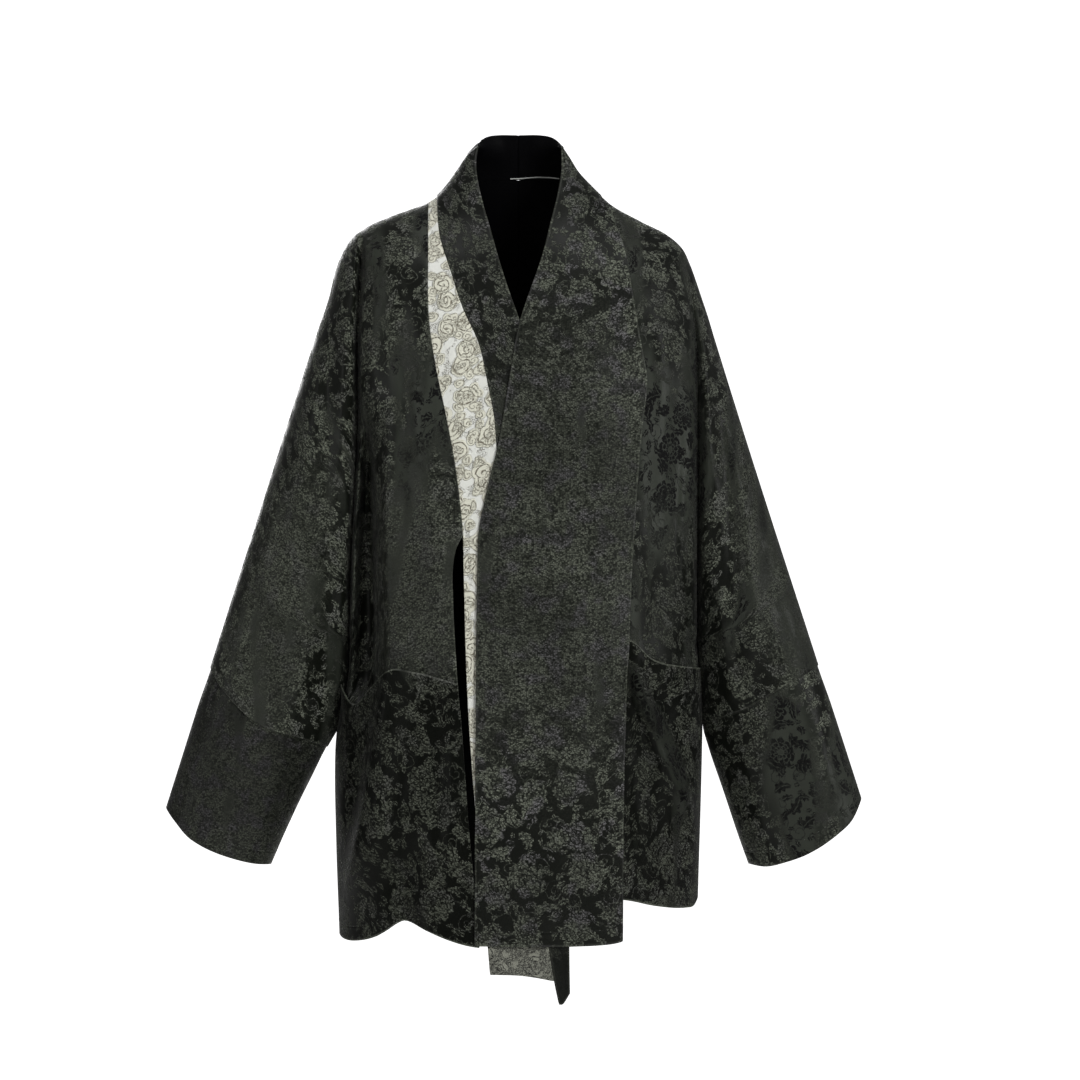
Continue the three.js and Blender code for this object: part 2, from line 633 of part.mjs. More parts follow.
// The collar's and the inset's rows run down to the inset's hem, and the collar's one further.
const frontHeights = (top, level, insetEnd) => joined(
  levels(top, level, rows.upper, crowding), levels(level, insetEnd, rows.hanging));

function rightCollar() {
  const us = steps(columns.collar);
  const seamHeights = frontHeights(ridge.right[stops.neck].z, parting.collarSeam, hems.inset.at(-1).z);
  const edgeHeights = frontHeights(ridge.right[stops.collarTop].z, parting.collarEdge, collarEdgeAtInsetHem);
  const left = onLine(down.collarSeam, [...seamHeights, hems.collar[0].z]);
  const right = onLine(down.collarEdge, [...edgeHeights, hems.collar.at(-1).z]);
  const top = ordered(collarSide('right'));
  const bottom = onRow(hems.collar, left.at(-1).x, right.at(-1).x, us);
  const sheet = new Sheet().add('front', 'trunk', patch({ us, top, bottom, left, right }), [
    { edge: 'left', to: rows.upper + rows.hanging },
    { edge: 'top', flat: true, crossing: true },
  ]);
  return addBackCollar(sheet, 'right').solid(collarWall, () => collarLift);
}

function paleInset() {
  const us = steps(columns.collar);
  const shoulder = stretch('right', 'neck', 'inset');
  const leftHeights = frontHeights(shoulder[1].z, parting.front, hems.inset[0].z);
  const left = joined(
    onLine(down.inset, leftHeights.slice(0, rows.upper + 1)),
    onLine(down.insetEdge, leftHeights.slice(rows.upper)));
  const right = onLine(down.collarSeam, frontHeights(shoulder[0].z, parting.collarSeam, hems.inset.at(-1).z));
  const top = along(ordered(shoulder), us);
  const bottom = onRow(hems.inset, left.at(-1).x, right.at(-1).x, us);
  return new Sheet().add('front', 'trunk', patch({ us, top, bottom, left, right }), [
    { edge: 'left', to: rows.upper },
    { edge: 'right' },
    { edge: 'top', flat: true },
  ]).solid(panelWall);
}

function leftBand() {
  const us = steps(columns.collar);
  const hem = hems.band;
  const right = onLine(down.bandSeam, joined(sewnHeights, levels(tuck.seam, hem.at(-1).z, rows.loose)));
  const left = onLine(down.bandEdge, joined(
    levels(ridge.left[stops.collarTop].z, tuck.edge, rows.sewn, crowding),
    levels(tuck.edge, hem[0].z, rows.loose)));
  const bottom = onRow(hem, left.at(-1).x, right.at(-1).x, us);
  const sheet = new Sheet().add('front', 'trunk', patch({ us, top: collarSide('left'), bottom, left, right }), [
    { edge: 'right', to: rows.sewn },
    { edge: 'top', flat: true, crossing: true },
  ]);
  return addBackCollar(sheet, 'left').solid(collarWall, ({ z }) => read(bandLift, 'z', 'lift', z));
}

// Half of the back: its top edge is the neck seam and then the shoulder.
function back(half) {
  const isRight = half === 'right';
  const shares = steps(columns.shoulder, isRight ? quarter : (t) => 1 - quarter(1 - t));
  const shoulder = along(ordered(stretch(half, 'neck', 'crease')), shares);
  const top = isRight ? joined(shoulder, neckCourse(half)) : joined(neckCourse(half), shoulder);
  const us = top.map(({ x }) => (x - top[0].x) / (top.at(-1).x - top[0].x));
  const side = sideCourse(half);
  const centreHemZ = read(hems.back, 'x', 'z', 0);
  const centre = heightsDown(neckSeamZ, parting.front, frontRows.underarm, frontRows.mouth, centreHemZ)
    .map((z) => ({ x: 0, z }));
  const [outerName, innerName] = outwards[half];
  const bottom = onRow(hems.back, isRight ? side.at(-1).x : 0, isRight ? 0 : side.at(-1).x, us);
  const grid = patch({ us, top, bottom, [outerName]: side, [innerName]: centre });
  const neckColumns = us.length - 1 - columns.shoulder;
  const sheet = new Sheet().add('back', 'trunk', grid, [
    { edge: 'top', from: isRight ? columns.shoulder : 0, to: isRight ? Infinity : neckColumns },
    { edge: innerName },
    { edge: 'top', flat: true, from: isRight ? 0 : neckColumns, to: isRight ? columns.shoulder : Infinity },
    { edge: outerName, flat: true, from: underarmRow },
  ]);
  return addSleeve(sheet, 'back', half).solid(panelWall);
}

function cuff(half) {
  return addCuff(addCuff(new Sheet(), 'front', half), 'back', half).solid(panelWall);
}

function gapeAt({ x, z }) {
  return gapes.reduce((sum, gape) => {
    const sideways = Math.exp(-(((x - gape.x) / gape.wide) ** 2));
    return sum + gape.height * sideways * smooth((z - gape.z + gape.tall) / gape.tall);
  }, 0);
}

// A pocket lies on the lower part of its front and is made from the same places.
function pocket(half) {
  const { lower } = half === 'right' ? rightFrontGrids() : leftFrontGrids();
  return new Sheet().add('front', 'trunk', lower, [{ edge: outwards[half][0], flat: true }])
    .solid(panelWall, (point) => pocketLift + gapeAt(point));
}

addPiece('front_right', silk, rightFront());
addPiece('front_left_side', silk, leftSideFront());
addPiece('back_right', silk, back('right'));
addPiece('back_left', silk, back('left'));
addPiece('cuff_right', silk, cuff('right'));
addPiece('cuff_left', silk, cuff('left'));
addPiece('inset_pale', pale, paleInset());
addPiece('collar_right', silk, rightCollar());
addPiece('band_left', silk, leftBand());
addPiece('pocket_right', silk, pocket('right'));
addPiece('pocket_left', silk, pocket('left'));

export default group;
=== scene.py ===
# A kimono-cut jacket in dark figured silk with a pale inset, hollow, hanging as it does when worn.
# Shapes are worked out in millimetres and become metres when a mesh is made.
# +X is the wearer's left, -Y the front and +Z up; the origin lies between the shoulders.
import json
import math

import bpy
import numpy as np
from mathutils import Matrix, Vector

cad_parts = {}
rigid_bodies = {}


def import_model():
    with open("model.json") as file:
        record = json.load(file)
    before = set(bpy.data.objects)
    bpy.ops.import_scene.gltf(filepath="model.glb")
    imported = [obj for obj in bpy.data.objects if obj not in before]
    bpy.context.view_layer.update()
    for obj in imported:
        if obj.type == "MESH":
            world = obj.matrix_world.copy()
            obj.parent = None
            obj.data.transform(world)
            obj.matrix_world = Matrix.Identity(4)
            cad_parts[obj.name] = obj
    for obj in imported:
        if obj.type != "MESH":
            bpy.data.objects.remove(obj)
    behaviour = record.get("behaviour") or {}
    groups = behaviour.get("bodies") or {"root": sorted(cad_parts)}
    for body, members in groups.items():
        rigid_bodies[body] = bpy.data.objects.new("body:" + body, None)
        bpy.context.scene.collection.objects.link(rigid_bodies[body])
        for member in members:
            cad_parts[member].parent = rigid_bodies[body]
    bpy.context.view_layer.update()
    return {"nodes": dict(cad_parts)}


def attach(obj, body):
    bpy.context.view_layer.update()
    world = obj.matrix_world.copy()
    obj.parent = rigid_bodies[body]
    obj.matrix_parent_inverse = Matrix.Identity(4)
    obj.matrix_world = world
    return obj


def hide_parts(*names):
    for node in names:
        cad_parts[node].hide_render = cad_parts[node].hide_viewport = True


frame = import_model()
print("frame loaded:", len(frame["nodes"]), "sewn pieces")

mm = 0.001


def placed(name, data):  # an object in the scene
    result = bpy.data.objects.new(name, data)
    bpy.context.collection.objects.link(result)
    return result


# The camera is level and looks straight at the front.
view = {
    "centre": (0.0242, -5.2, -0.3685),  # at the height of the middle of the jacket
    "width": 1.188,  # how much is seen across at the distance of the jacket's side seams
    "sensor": 36.0,
}

cameraData = bpy.data.cameras.new("camera")
cameraData.sensor_width = view["sensor"]
cameraData.lens = view["sensor"] * -view["centre"][1] / view["width"]
camera = placed("camera", cameraData)
camera.location = view["centre"]
camera.rotation_euler = (math.radians(90), 0, 0)
bpy.context.scene.camera = camera
print("camera ready")


# The form that the cloth hangs on: its outlines, its depth and its folds.
def table(names, rows):  # columns of numbers by name
    return dict(zip(names.split(), np.array(rows, dtype=float).T))


underarmZ = -478.0
# The sleeves swing forwards by this much at the cuff, from so far out and so far down.
swing = {"forwards": 28.0, "x": 205.0, "z": -140.0, "reach": 130.0, "fall": 420.0}
calmOutline = 30.0  # folds fade out over these distances from the upper outline and from the sides
calmSide = 12.0
underarmDrop = 120.0  # over this height above the underarm the fold at the armhole runs in to it
softArmhole = 45.0  # how far from the fold that is felt
backShift = 70.0  # how far sideways the back's unevenness lies from the front's
# The cloth is pinched in at the fold itself, from a little below the upper outline.
pinch = {"height": {"right": 17.0, "left": 9.0}, "wide": 3.6, "below": 3.0, "fade": 24.0}
trunkCrown = 2.4  # how flat the trunk and the sleeve are across: at 2 a section is an ellipse
armCrown = 2.0

# Half depths by height: the trunk, the fold at the armhole and the sleeve, to the front and to the
# back. roll is how far the form takes to round over from its upper outline, and open how soon its
# sections reach their full depth.
form = table(
    "z front back creaseFront creaseBack sleeveFront sleeveBack roll open",
    [
        [81, 5, 50, 5, 50, 5, 50, 44, 1],
        [50, 23, 57, 23, 57, 23, 57, 48, 1],
        [30, 40, 62, 40, 62, 40, 62, 58, 1],
        [14, 51, 68, 51, 68, 51, 68, 70, 1],
        [-21, 65, 86, 62, 78, 62, 76, 88, 1],
        [-56, 79, 102, 66, 80, 68, 78, 92, 1],
        [-129, 102, 117, 62, 72, 67, 72, 74, 0.9],
        [-230, 122, 119, 56, 62, 64, 66, 60, 0.75],
        [-340, 127, 113, 49, 52, 61, 62, 62, 0.62],
        [-420, 129, 113, 42, 44, 60, 60, 65, 0.55],
        [underarmZ, 131, 115, 36, 38, 58, 58, 67, 0.5],
        [-600, 135, 120, 0, 0, 51, 52, 71, 0.5],
        [-724, 139, 125, 0, 0, 44, 46, 64, 0.5],
        [-870, 142, 129, 0, 0, 42, 44, 60, 0.5],
    ],
)

# The upper outline of each half, down the collar, the shoulder and the top of the arm.
ridge = {
    "right": np.array([
        [-44, 64], [-54, 56], [-66, 38.5], [-79, 21], [-89, 10], [-98.5, 3], [-120, -5.5],
        [-144, -14.3], [-164, -23], [-171.6, -28], [-180, -34], [-191, -49.5], [-199, -67],
        [-209, -105.6], [-220, -137.5], [-336.6, -507.5], [-385, -661], [-402, -715],
    ]),
    "left": np.array([
        [48, 64], [57, 50.6], [66, 36.3], [79, 22], [91, 10], [104, -1], [136, -18.7], [164, -33.2],
        [181, -48.5], [189, -65], [192.5, -74], [198, -90], [203, -105], [209, -123], [215.6, -145],
        [329, -505], [376, -651], [396, -715],
    ]),
}
stops = {"collarTop": 0, "neck": 4, "inset": 5, "crease": 9, "cuffSeam": 15, "cuffHem": 16}

# The fold at the armhole, down to the underarm, and the trunk's side seam and the sleeve's inner
# side below it.
crease = {
    "right": table("z x", [
        [64, -44], [-5, -120], [-23, -171], [-28, -171.6], [-47, -171.6], [-107, -173], [-151, -175],
        [-249, -175], [-325, -179], [-390, -182.5], [underarmZ, -185],
    ]),
    "left": table("z x", [
        [64, 48], [-10, 119], [-56, 187.8], [-65, 189], [-80, 189.4], [-110, 191.5], [-150, 195],
        [-248, 196], [-390, 196], [underarmZ, 196.5],
    ]),
}
sideSeam = {
    "right": table("z x", [
        [underarmZ, -185], [-520, -187], [-545, -192], [-560, -194.7], [-575, -197], [-600, -199],
        [-700, -198], [-801, -194.5], [-870, -193],
    ]),
    "left": table("z x", [
        [underarmZ, 196.5], [-510, 199], [-540, 200.4], [-560, 201], [-600, 200.5], [-660, 199],
        [-761, 196], [-870, 194],
    ]),
}
sleeveSeam = {
    "right": table("z x", [
        [underarmZ, -185], [-520, -186.4], [-545, -191.4], [-560, -194.2], [-575, -197.4],
        [-586, -203.5], [-600, -211.5], [-643.5, -234.3], [-693, -257.4], [-723.8, -270.6],
    ]),
    "left": table("z x", [
        [underarmZ, 196.5], [-510, 198.4], [-540, 199.8], [-560, 200.6], [-578, 203], [-596, 209],
        [-643.5, 225.5], [-693, 242], [-723.8, 253],
    ]),
}

# Edges and seams that run down the front.
down = {
    "inset": table("z x", [
        [3, -98.5], [-52, -97.4], [-131, -95.7], [-183, -88], [-235, -77], [-287, -67.2],
        [-338, -60.7], [-363, -58.5],
    ]),
    "rightEdge": table("z x", [
        [-363, -58.5], [-377, -65.5], [-396, -69.2], [-436, -69.2], [-512, -65], [-589, -58.4],
        [-692, -50.8], [-754, -44.4], [-805.5, -40.5],
    ]),
    "insetEdge": table("z x", [
        [-363, -58.5], [-422, -57.4], [-529, -54.1], [-615, -48.7], [-743, -36.9], [-834, -29.3],
    ]),
    "collarSeam": table("z x", [
        [10, -89], [-38, -84.4], [-78, -72.1], [-118, -59], [-157, -41.5], [-196, -32.8],
        [-235, -25.2], [-274, -22], [-380, -12], [-560, 6], [-720, 24], [-805, 33.8], [-841, 39.4],
        [-866, 44.5],
    ]),
    "collarEdge": table("z x", [
        [64, -44], [47.5, -46], [28.8, -44.6], [1.5, -38.9], [-25.3, -31.2], [-61, -21.3],
        [-96, -10.4], [-133, 2.6], [-200, 20], [-300, 35], [-480, 46], [-700, 54], [-853.8, 55.8],
    ]),
    "bandEdge": table("z x", [
        [64, 48], [38, 48.2], [10.5, 43.8], [-25.3, 35.1], [-61, 26.4], [-96.3, 14.5], [-133.4, 2.6],
        [-179, -5.9], [-223, -13.4], [-266.5, -20.9], [-325.6, -34.9], [-357.8, -41.3],
        [-390, -42.6], [-583, -44.4], [-803.4, -45.4],
    ]),
    "bandSeam": table("z x", [
        [10, 91], [-42.5, 113.3], [-97.5, 124], [-152, 132.4], [-195, 138.9], [-250, 133.3],
        [-375, 124.5], [-483, 119], [-562, 114.6], [-637, 112.4], [-799.5, 111.3],
    ]),
}
hems = {
    "right": table("x z", [
        [-194.5, -801], [-189.4, -803.4], [-179, -804], [-155, -797.5], [-142, -790], [-128.7, -781],
        [-122, -778.4], [-115.6, -779.2], [-96, -788.3], [-76.6, -796.4], [-57, -802.5],
        [-40.5, -805.5],
    ]),
    "left": table("x z", [
        [97.5, -753], [123, -757], [149, -763.6], [183, -768.5], [191, -767.7], [196, -761],
    ]),
    "band": table("x z", [[-45.4, -803.4], [84, -803], [103.7, -801.4], [111.3, -799.5]]),
    "inset": table("x z", [[-29.3, -834], [3, -835], [21, -837.4], [39.4, -841]]),
    "collar": table("x z", [[44.5, -866], [48, -865.5], [55.8, -853.8]]),
    "back": table("x z", [[-194.5, -801], [-150, -786], [0, -776], [150, -764], [196, -761]]),
}
mouths = {
    "right": table("x z", [
        [-192, -545], [-186, -528], [-178, -546], [-158, -528.5], [-136, -507.5], [-116, -509.5],
        [-94, -514.5], [-64.3, -523],
    ]),
    "left": table("x z", [
        [105.6, -470], [121, -476], [129, -482], [141, -494], [154, -500.5], [172, -504.5],
        [188, -507], [198.9, -508.5],
    ]),
}
neckSeamZ = 32.0
collarTopZ = 81.0
neckSeam = {
    "right": np.array([[-89, 10], [-70, 20], [-50, 27], [-25, 31], [0, neckSeamZ]]),
    "left": np.array([[0, neckSeamZ], [25, 31], [50, 27], [70, 21], [91, 10]]),
}
collarTop = {
    "right": np.array([[-44, 64], [-42.5, 69], [-39.5, 73.5], [-33, 78], [-22, 80.5], [0, collarTopZ]]),
    "left": np.array([[0, collarTopZ], [24, 80.5], [36, 77.5], [43.5, 71.5], [48, 64]]),
}
cuffSeam = {
    "right": np.array([
        [-336.6, -507.5], [-320, -532.4], [-281.6, -568.7], [-234.3, -586], [-211, -596],
    ]),
    "left": np.array([
        [205.5, -569], [231, -560], [252, -551], [292.6, -525.8], [322, -509.3], [329, -505],
    ]),
}
cuffHem = {
    "right": np.array([
        [-385, -661], [-371.8, -676.5], [-358.6, -690.8], [-345.4, -699.6], [-332.2, -706.2],
        [-305.8, -716], [-286, -721.6], [-270.6, -723.8],
    ]),
    "left": np.array([
        [253, -723.8], [270.6, -724.9], [290.4, -719.4], [310.2, -711.7], [330, -700.7],
        [349.8, -686.4], [363, -674.3], [376, -651],
    ]),
}

# The deepest fold, a valley beside the right armhole. The pocket stands off its lower end.
valley = [-165, -205, -160, -606, 2, 21, 8]
# Folds, each from one place to another. bow bends it sideways at its middle, right and left are how
# far it spreads towards the wearer's right and left, and height is how far it stands out.
folds = {
    ("front", "trunk"): table("x0 z0 x1 z1 bow right left height", [
        [*valley, -56],
        [-140, -205, -139, -560, -2, 4, 20, 9],
        [-130, -515, -176, -760, 5, 16, 12, 9],
        [-160, -560, -184, -700, 3, 12, 14, -7],
        [-122, -700, -118, -830, 0, 16, 15, -8],
        [121, -470, 180, -690, -6, 12, 9, 6],
        [172, -200, 168, -420, 3, 18, 12, -5],
        [-148, -60, -160, -250, -4, 7, 12, 2.4],
        [-128, -70, -118, -330, 3, 9, 11, -2.2],
        [-112, -150, -84, -470, -3, 8, 14, 2.2],
        [-100, -430, -86, -700, 4, 9, 12, -2.4],
        [-62, -560, -74, -790, -3, 7, 11, 2.0],
        [-92, -640, -104, -800, 4, 7, 8, 2.4],
        [-150, -640, -142, -800, -4, 8, 8, 3.0],
        [150, -90, 158, -330, 4, 8, 10, 2.4],
        [182, -260, 178, -470, -2, 5, 5, 2.6],
        [141, -250, 146, -500, 3, 6, 9, -2.6],
        [186, -520, 150, -680, -7, 7, 9, 4.0],
        [170, -600, 176, -760, 3, 8, 8, -3.0],
        [128, -600, 136, -745, -3, 7, 8, 2.6],
        [98, -60, 118, -240, -4, 12, 12, -1.6],
        [60, -60, 84, -380, 5, 15, 18, 1.6],
        [20, -210, 44, -540, -5, 18, 16, -1.8],
        [88, -420, 78, -800, 4, 17, 14, -2.2],
        [-8, -480, 10, -800, 3, 14, 18, 1.8],
        [46, -560, 40, -800, -2, 12, 15, 1.7],
        [-34, -130, -22, -330, 3, 8, 9, 1.0],
        [-78, -130, -52, -330, 2, 9, 9, 1.2],
    ]),
    ("front", "sleeve"): table("x0 z0 x1 z1 bow right left height", [
        [-205, -120, -222, -420, 3, 8, 11, -8],
        [-212, -330, -236, -560, -4, 11, 11, 7],
        [216, -200, 236, -460, 4, 8, 11, -7],
        [252, -300, 262, -520, -6, 13, 12, 5],
        [-190, -90, -192, -330, 2, 6, 7, 3.4],
        [-228, -200, -268, -470, 6, 9, 13, 3.0],
        [-248, -200, -284, -430, 3, 3.5, 5, 3.4],
        [-219, -220, -217, -410, 2, 3, 6, 3.6],
        [-196, -400, -252, -590, 8, 8, 9, -3.6],
        [-266, -360, -300, -540, -4, 12, 10, -2.8],
        [-250, -590, -292, -700, 3, 10, 12, 3.0],
        [-304, -560, -346, -680, -3, 12, 11, -2.6],
        [-222, -560, -262, -690, -4, 7, 9, -2.6],
        [206, -110, 212, -330, -3, 6, 6, 4.0],
        [228, -180, 258, -380, -6, 7, 9, 4.2],
        [240, -330, 300, -500, 8, 10, 10, -3.8],
        [206, -380, 232, -560, 5, 6, 8, 4.6],
        [222, -470, 276, -560, -6, 8, 8, -3.4],
        [286, -420, 312, -520, 3, 10, 10, 2.8],
        [236, -580, 270, -710, 5, 8, 10, 3.4],
        [290, -545, 320, -690, -5, 11, 9, -3.2],
        [318, -540, 348, -660, 3, 8, 8, 2.2],
    ]),
    ("back", "trunk"): table("x0 z0 x1 z1 bow right left height", [
        [-120, -150, -92, -700, 6, 24, 25, -8],
        [-40, -250, -30, -790, -5, 22, 29, 7],
        [60, -220, 52, -780, 6, 26, 20, -7],
        [138, -160, 122, -740, -7, 18, 24, 8],
        [-156, -80, -150, -400, 5, 9, 13, 4.0],
        [-150, -380, -164, -760, -6, 10, 13, 4.4],
        [-76, -60, -64, -420, 4, 12, 12, 2.6],
        [-8, -120, 6, -520, -4, 10, 12, -2.4],
        [26, -420, 20, -780, 4, 10, 12, 3.0],
        [92, -90, 84, -460, -5, 12, 14, 3.0],
        [166, -140, 176, -480, 4, 9, 9, -4.0],
        [160, -470, 172, -750, -5, 10, 12, 4.2],
        [96, -520, 102, -770, 4, 11, 11, -3.2],
        [-110, -560, -120, -790, 3, 11, 11, 3.4],
    ]),
    ("back", "sleeve"): table("x0 z0 x1 z1 bow right left height", [
        [-214, -150, -236, -520, 4, 11, 13, -9],
        [224, -160, 250, -530, -5, 12, 12, -9],
        [-192, -90, -196, -340, -2, 6, 8, 4.4],
        [-240, -230, -282, -500, -5, 10, 13, 3.8],
        [-206, -420, -258, -600, 5, 8, 9, 4.2],
        [-262, -590, -306, -710, -3, 10, 11, -3.2],
        [206, -100, 214, -350, 3, 6, 7, 4.2],
        [248, -240, 284, -490, 5, 10, 12, 3.6],
        [214, -420, 256, -590, -5, 9, 8, 4.0],
        [254, -580, 304, -700, 4, 10, 12, -3.2],
    ]),
}
# Folds that only the pockets have, which stand out from the panels below them.
pocketFolds = table("x0 z0 x1 z1 bow right left height", [
    [*valley, 57],
    [-124, -400, -192, -800, 4, 8, 26, 20],
    [-134, -470, -197, -800, 4, 2.2, 5, 3.6],
    [-96, -520, -132, -700, 8, 12, 10, 2.6],
    [-122, -745, -88, -800, 3, 7, 9, 4.5],
    [-66, -560, -70, -790, -3, 8, 8, 1.8],
    [112, -466, 197, -690, -5, 8, 9, 15],
    [186, -520, 166, -640, 6, 6, 9, 4.0],
    [132, -640, 140, -755, 3, 8, 8, 2.2],
])
# How far each pocket gapes from its panel, as round bulges below the mouth.
gapes = table("x z wide tall height", [
    [-137, -500, 34, 110, 13],
    [158, -492, 26, 95, 13],
])
# The outer corner of the right pocket's mouth curls out by itself.
curled = {"x": -183.0, "z": -528.0, "wide": 7.0, "tall": 38.0, "height": 8.0}
# Slow unevenness of hung cloth, as waves of so many millimetres in a direction given in degrees.
# Each is bent by the one before it, so that none runs straight.
waves = table("long towards phase height", [
    [152, 4, 0.4, 0.75], [97, 9, 2.1, 0.5], [131, 72, 4.0, 0.3], [58, -7, 1.2, 0.26],
    [41, 14, 5.1, 0.13], [37, 58, 3.3, 0.07],
])
sway = {"bend": 1.3, "slower": 3.1}  # so much of a wave bends the next, and one so many times longer
foldFade = {"start": 0.3, "end": 0.25}  # the shares of its length over which a fold comes and goes
nearEnough = {"outline": 2.0, "underarm": 0.5}  # a seam's place so near to one of these lies on it


def clamp(value):
    return np.clip(value, 0.0, 1.0)


def smooth(value):
    t = clamp(value)
    return t * t * (3 - 2 * t)


def mix(start, end, share):
    return start + (end - start) * share


def rounded(value):  # a quarter circle that starts upright at 0 and is level at 1
    return np.sqrt(1 - (1 - clamp(value)) ** 2)


def read(rows, key, name, values):  # a smooth curve through rows of a table, held at its ends
    keys, column = rows[key], rows[name]
    if keys[0] > keys[-1]:
        keys, column = keys[::-1], column[::-1]
    values = np.asarray(values, dtype=float)
    slopes = np.diff(column) / np.diff(keys)
    turns = np.concatenate([slopes[:1], (slopes[1:] + slopes[:-1]) / 2, slopes[-1:]])
    i = np.clip(np.searchsorted(keys, values) - 1, 0, len(keys) - 2)
    step = keys[i + 1] - keys[i]
    t = clamp((values - keys[i]) / step)
    bend = slopes[i] * t * t * (3 - 2 * t) + turns[i] * t * (1 - t) ** 2 - turns[i + 1] * t * t * (1 - t)
    return column[i] + step * bend


def along(places, shares):  # points at shares of the length of a smooth curve through places
    lengths = np.concatenate([[0.0], np.cumsum(np.hypot(*np.diff(places, axis=0).T))])
    rows = {"length": lengths, "x": places[:, 0], "z": places[:, 1]}
    at = np.asarray(shares) * lengths[-1]
    return np.stack([read(rows, "length", "x", at), read(rows, "length", "z", at)], axis=-1)


def ridgeRun(half, first, last, shares):  # a stretch of a half's outline, by the names of its stops
    lengths = np.concatenate([[0.0], np.cumsum(np.hypot(*np.diff(ridge[half], axis=0).T))])
    ends = [lengths[stops[name]] / lengths[-1] for name in (first, last)]
    return along(ridge[half], mix(ends[0], ends[1], np.asarray(shares)))


courseSteps = 900
ridgeCourse = {half: along(places, np.linspace(0, 1, courseSteps + 1)) for half, places in ridge.items()}
ridgeTable = {half: table("x z", places) for half, places in ridge.items()}


def nearestRidge(half, x, z):  # how far the outline is, and which way it runs there
    starts = ridgeCourse[half][:-1]
    runs = np.diff(ridgeCourse[half], axis=0)
    squares = (runs ** 2).sum(axis=1)
    places = np.stack([np.ravel(x), np.ravel(z)], axis=-1)
    distance = np.empty(len(places))
    course = np.empty((len(places), 2))
    batch = 2000  # so many places at a time, to spare memory
    for first in range(0, len(places), batch):
        away = places[first:first + batch, None, :] - starts[None]
        t = clamp((away * runs).sum(axis=2) / squares)
        gap = np.linalg.norm(away - t[..., None] * runs, axis=2)
        nearest = gap.argmin(axis=1)
        distance[first:first + batch] = gap[np.arange(len(nearest)), nearest]
        course[first:first + batch] = runs[nearest]
    return distance.reshape(np.shape(x)), course.reshape(np.shape(x) + (2,))


def edgeAt(part, half, z):  # where the trunk or the sleeve turns in
    below = sleeveSeam if part == "sleeve" else sideSeam
    return np.where(z > underarmZ, read(crease[half], "z", "x", z), read(below[half], "z", "x", z))


def foldHeight(rows, x, z):  # how far the folds stand out at a place
    total = np.zeros(np.shape(x))
    for x0, z0, x1, z1, bow, right, left, height in zip(*rows.values()):
        length = math.hypot(x1 - x0, z1 - z0)
        share = ((x - x0) * (x1 - x0) + (z - z0) * (z1 - z0)) / length ** 2
        off = ((x - x0) * (z0 - z1) + (z - z0) * (x1 - x0)) / length
        off = off - bow * np.sin(clamp(share) * math.pi)
        fade = smooth(share / foldFade["start"]) * smooth((1 - share) / foldFade["end"])
        spread = np.where(off < 0, right, left)
        total += height * fade * np.exp(-((off / spread) ** 2))
    return total


def waveHeight(x, z):  # how far the slow unevenness stands out
    total = np.zeros(np.shape(x))
    bend = 0
    for long, towards, phase, height in zip(*waves.values()):
        turn = math.radians(towards)
        across = x * math.cos(turn) + z * math.sin(turn)
        swell = np.sin(across * 2 * math.pi / long + phase + bend)
        total += height * swell
        bend = sway["bend"] * swell + np.sin(z * 2 * math.pi / (sway["slower"] * long) + phase)
    return total


def depthOfHalf(face, part, half, x, z):  # part is the trunk or the sleeve
    suffix = "Front" if face == "front" else "Back"
    full = read(form, "z", face if part == "trunk" else "sleeve" + suffix, z)
    toRidge = nearestRidge(half, x, z)[0]
    edge = edgeAt(part, half, z)
    outer = read(ridgeTable[half], "z", "x", z)
    fromEdge = np.abs(x - edge)
    rise = (z - underarmZ) / underarmDrop
    inward = read(form, "z", "crease" + suffix, z)
    inward = inward * mix(smooth(rise), rounded(rise), smooth(1 - fromEdge / softArmhole))
    if part == "sleeve":
        crown = 1 - (1 - clamp(2 * fromEdge / np.maximum(1, np.abs(outer - edge)))) ** armCrown
    else:
        crown = 1 - clamp(np.abs(x / edge)) ** trunkCrown
    calm = smooth(toRidge / calmOutline) * smooth(fromEdge / calmSide)
    opened = mix(inward, full, crown ** read(form, "z", "open", z))
    body = rounded(toRidge / read(form, "z", "roll", z)) * opened
    pinched = pinch["height"][half] * np.exp(-((fromEdge / pinch["wide"]) ** 2))
    body -= pinched * smooth((toRidge - pinch["below"]) / pinch["fade"]) * smooth(rise * 2)
    shift = 0 if face == "front" else backShift
    return body + calm * (foldHeight(folds[face, part], x, z) + waveHeight(x + shift, z))


def depthAt(face, part, x, z):  # how far the form lies before or behind the plane of its side seams
    isRight = x < 0
    depth = np.empty(np.shape(x))
    for half, chosen in (("right", isRight), ("left", ~isRight)):
        if chosen.any():
            depth[chosen] = depthOfHalf(face, part, half, x[chosen], z[chosen])
    return depth


def seamPlane(x, z):  # the plane of the side seams, which bends forwards with the hanging sleeves
    outwards = smooth((np.abs(x) - swing["x"]) / swing["reach"])
    return -swing["forwards"] * outwards * smooth((swing["z"] - z) / swing["fall"])


def unit(vectors):
    return vectors / np.maximum(1e-9, np.linalg.norm(vectors, axis=-1, keepdims=True))


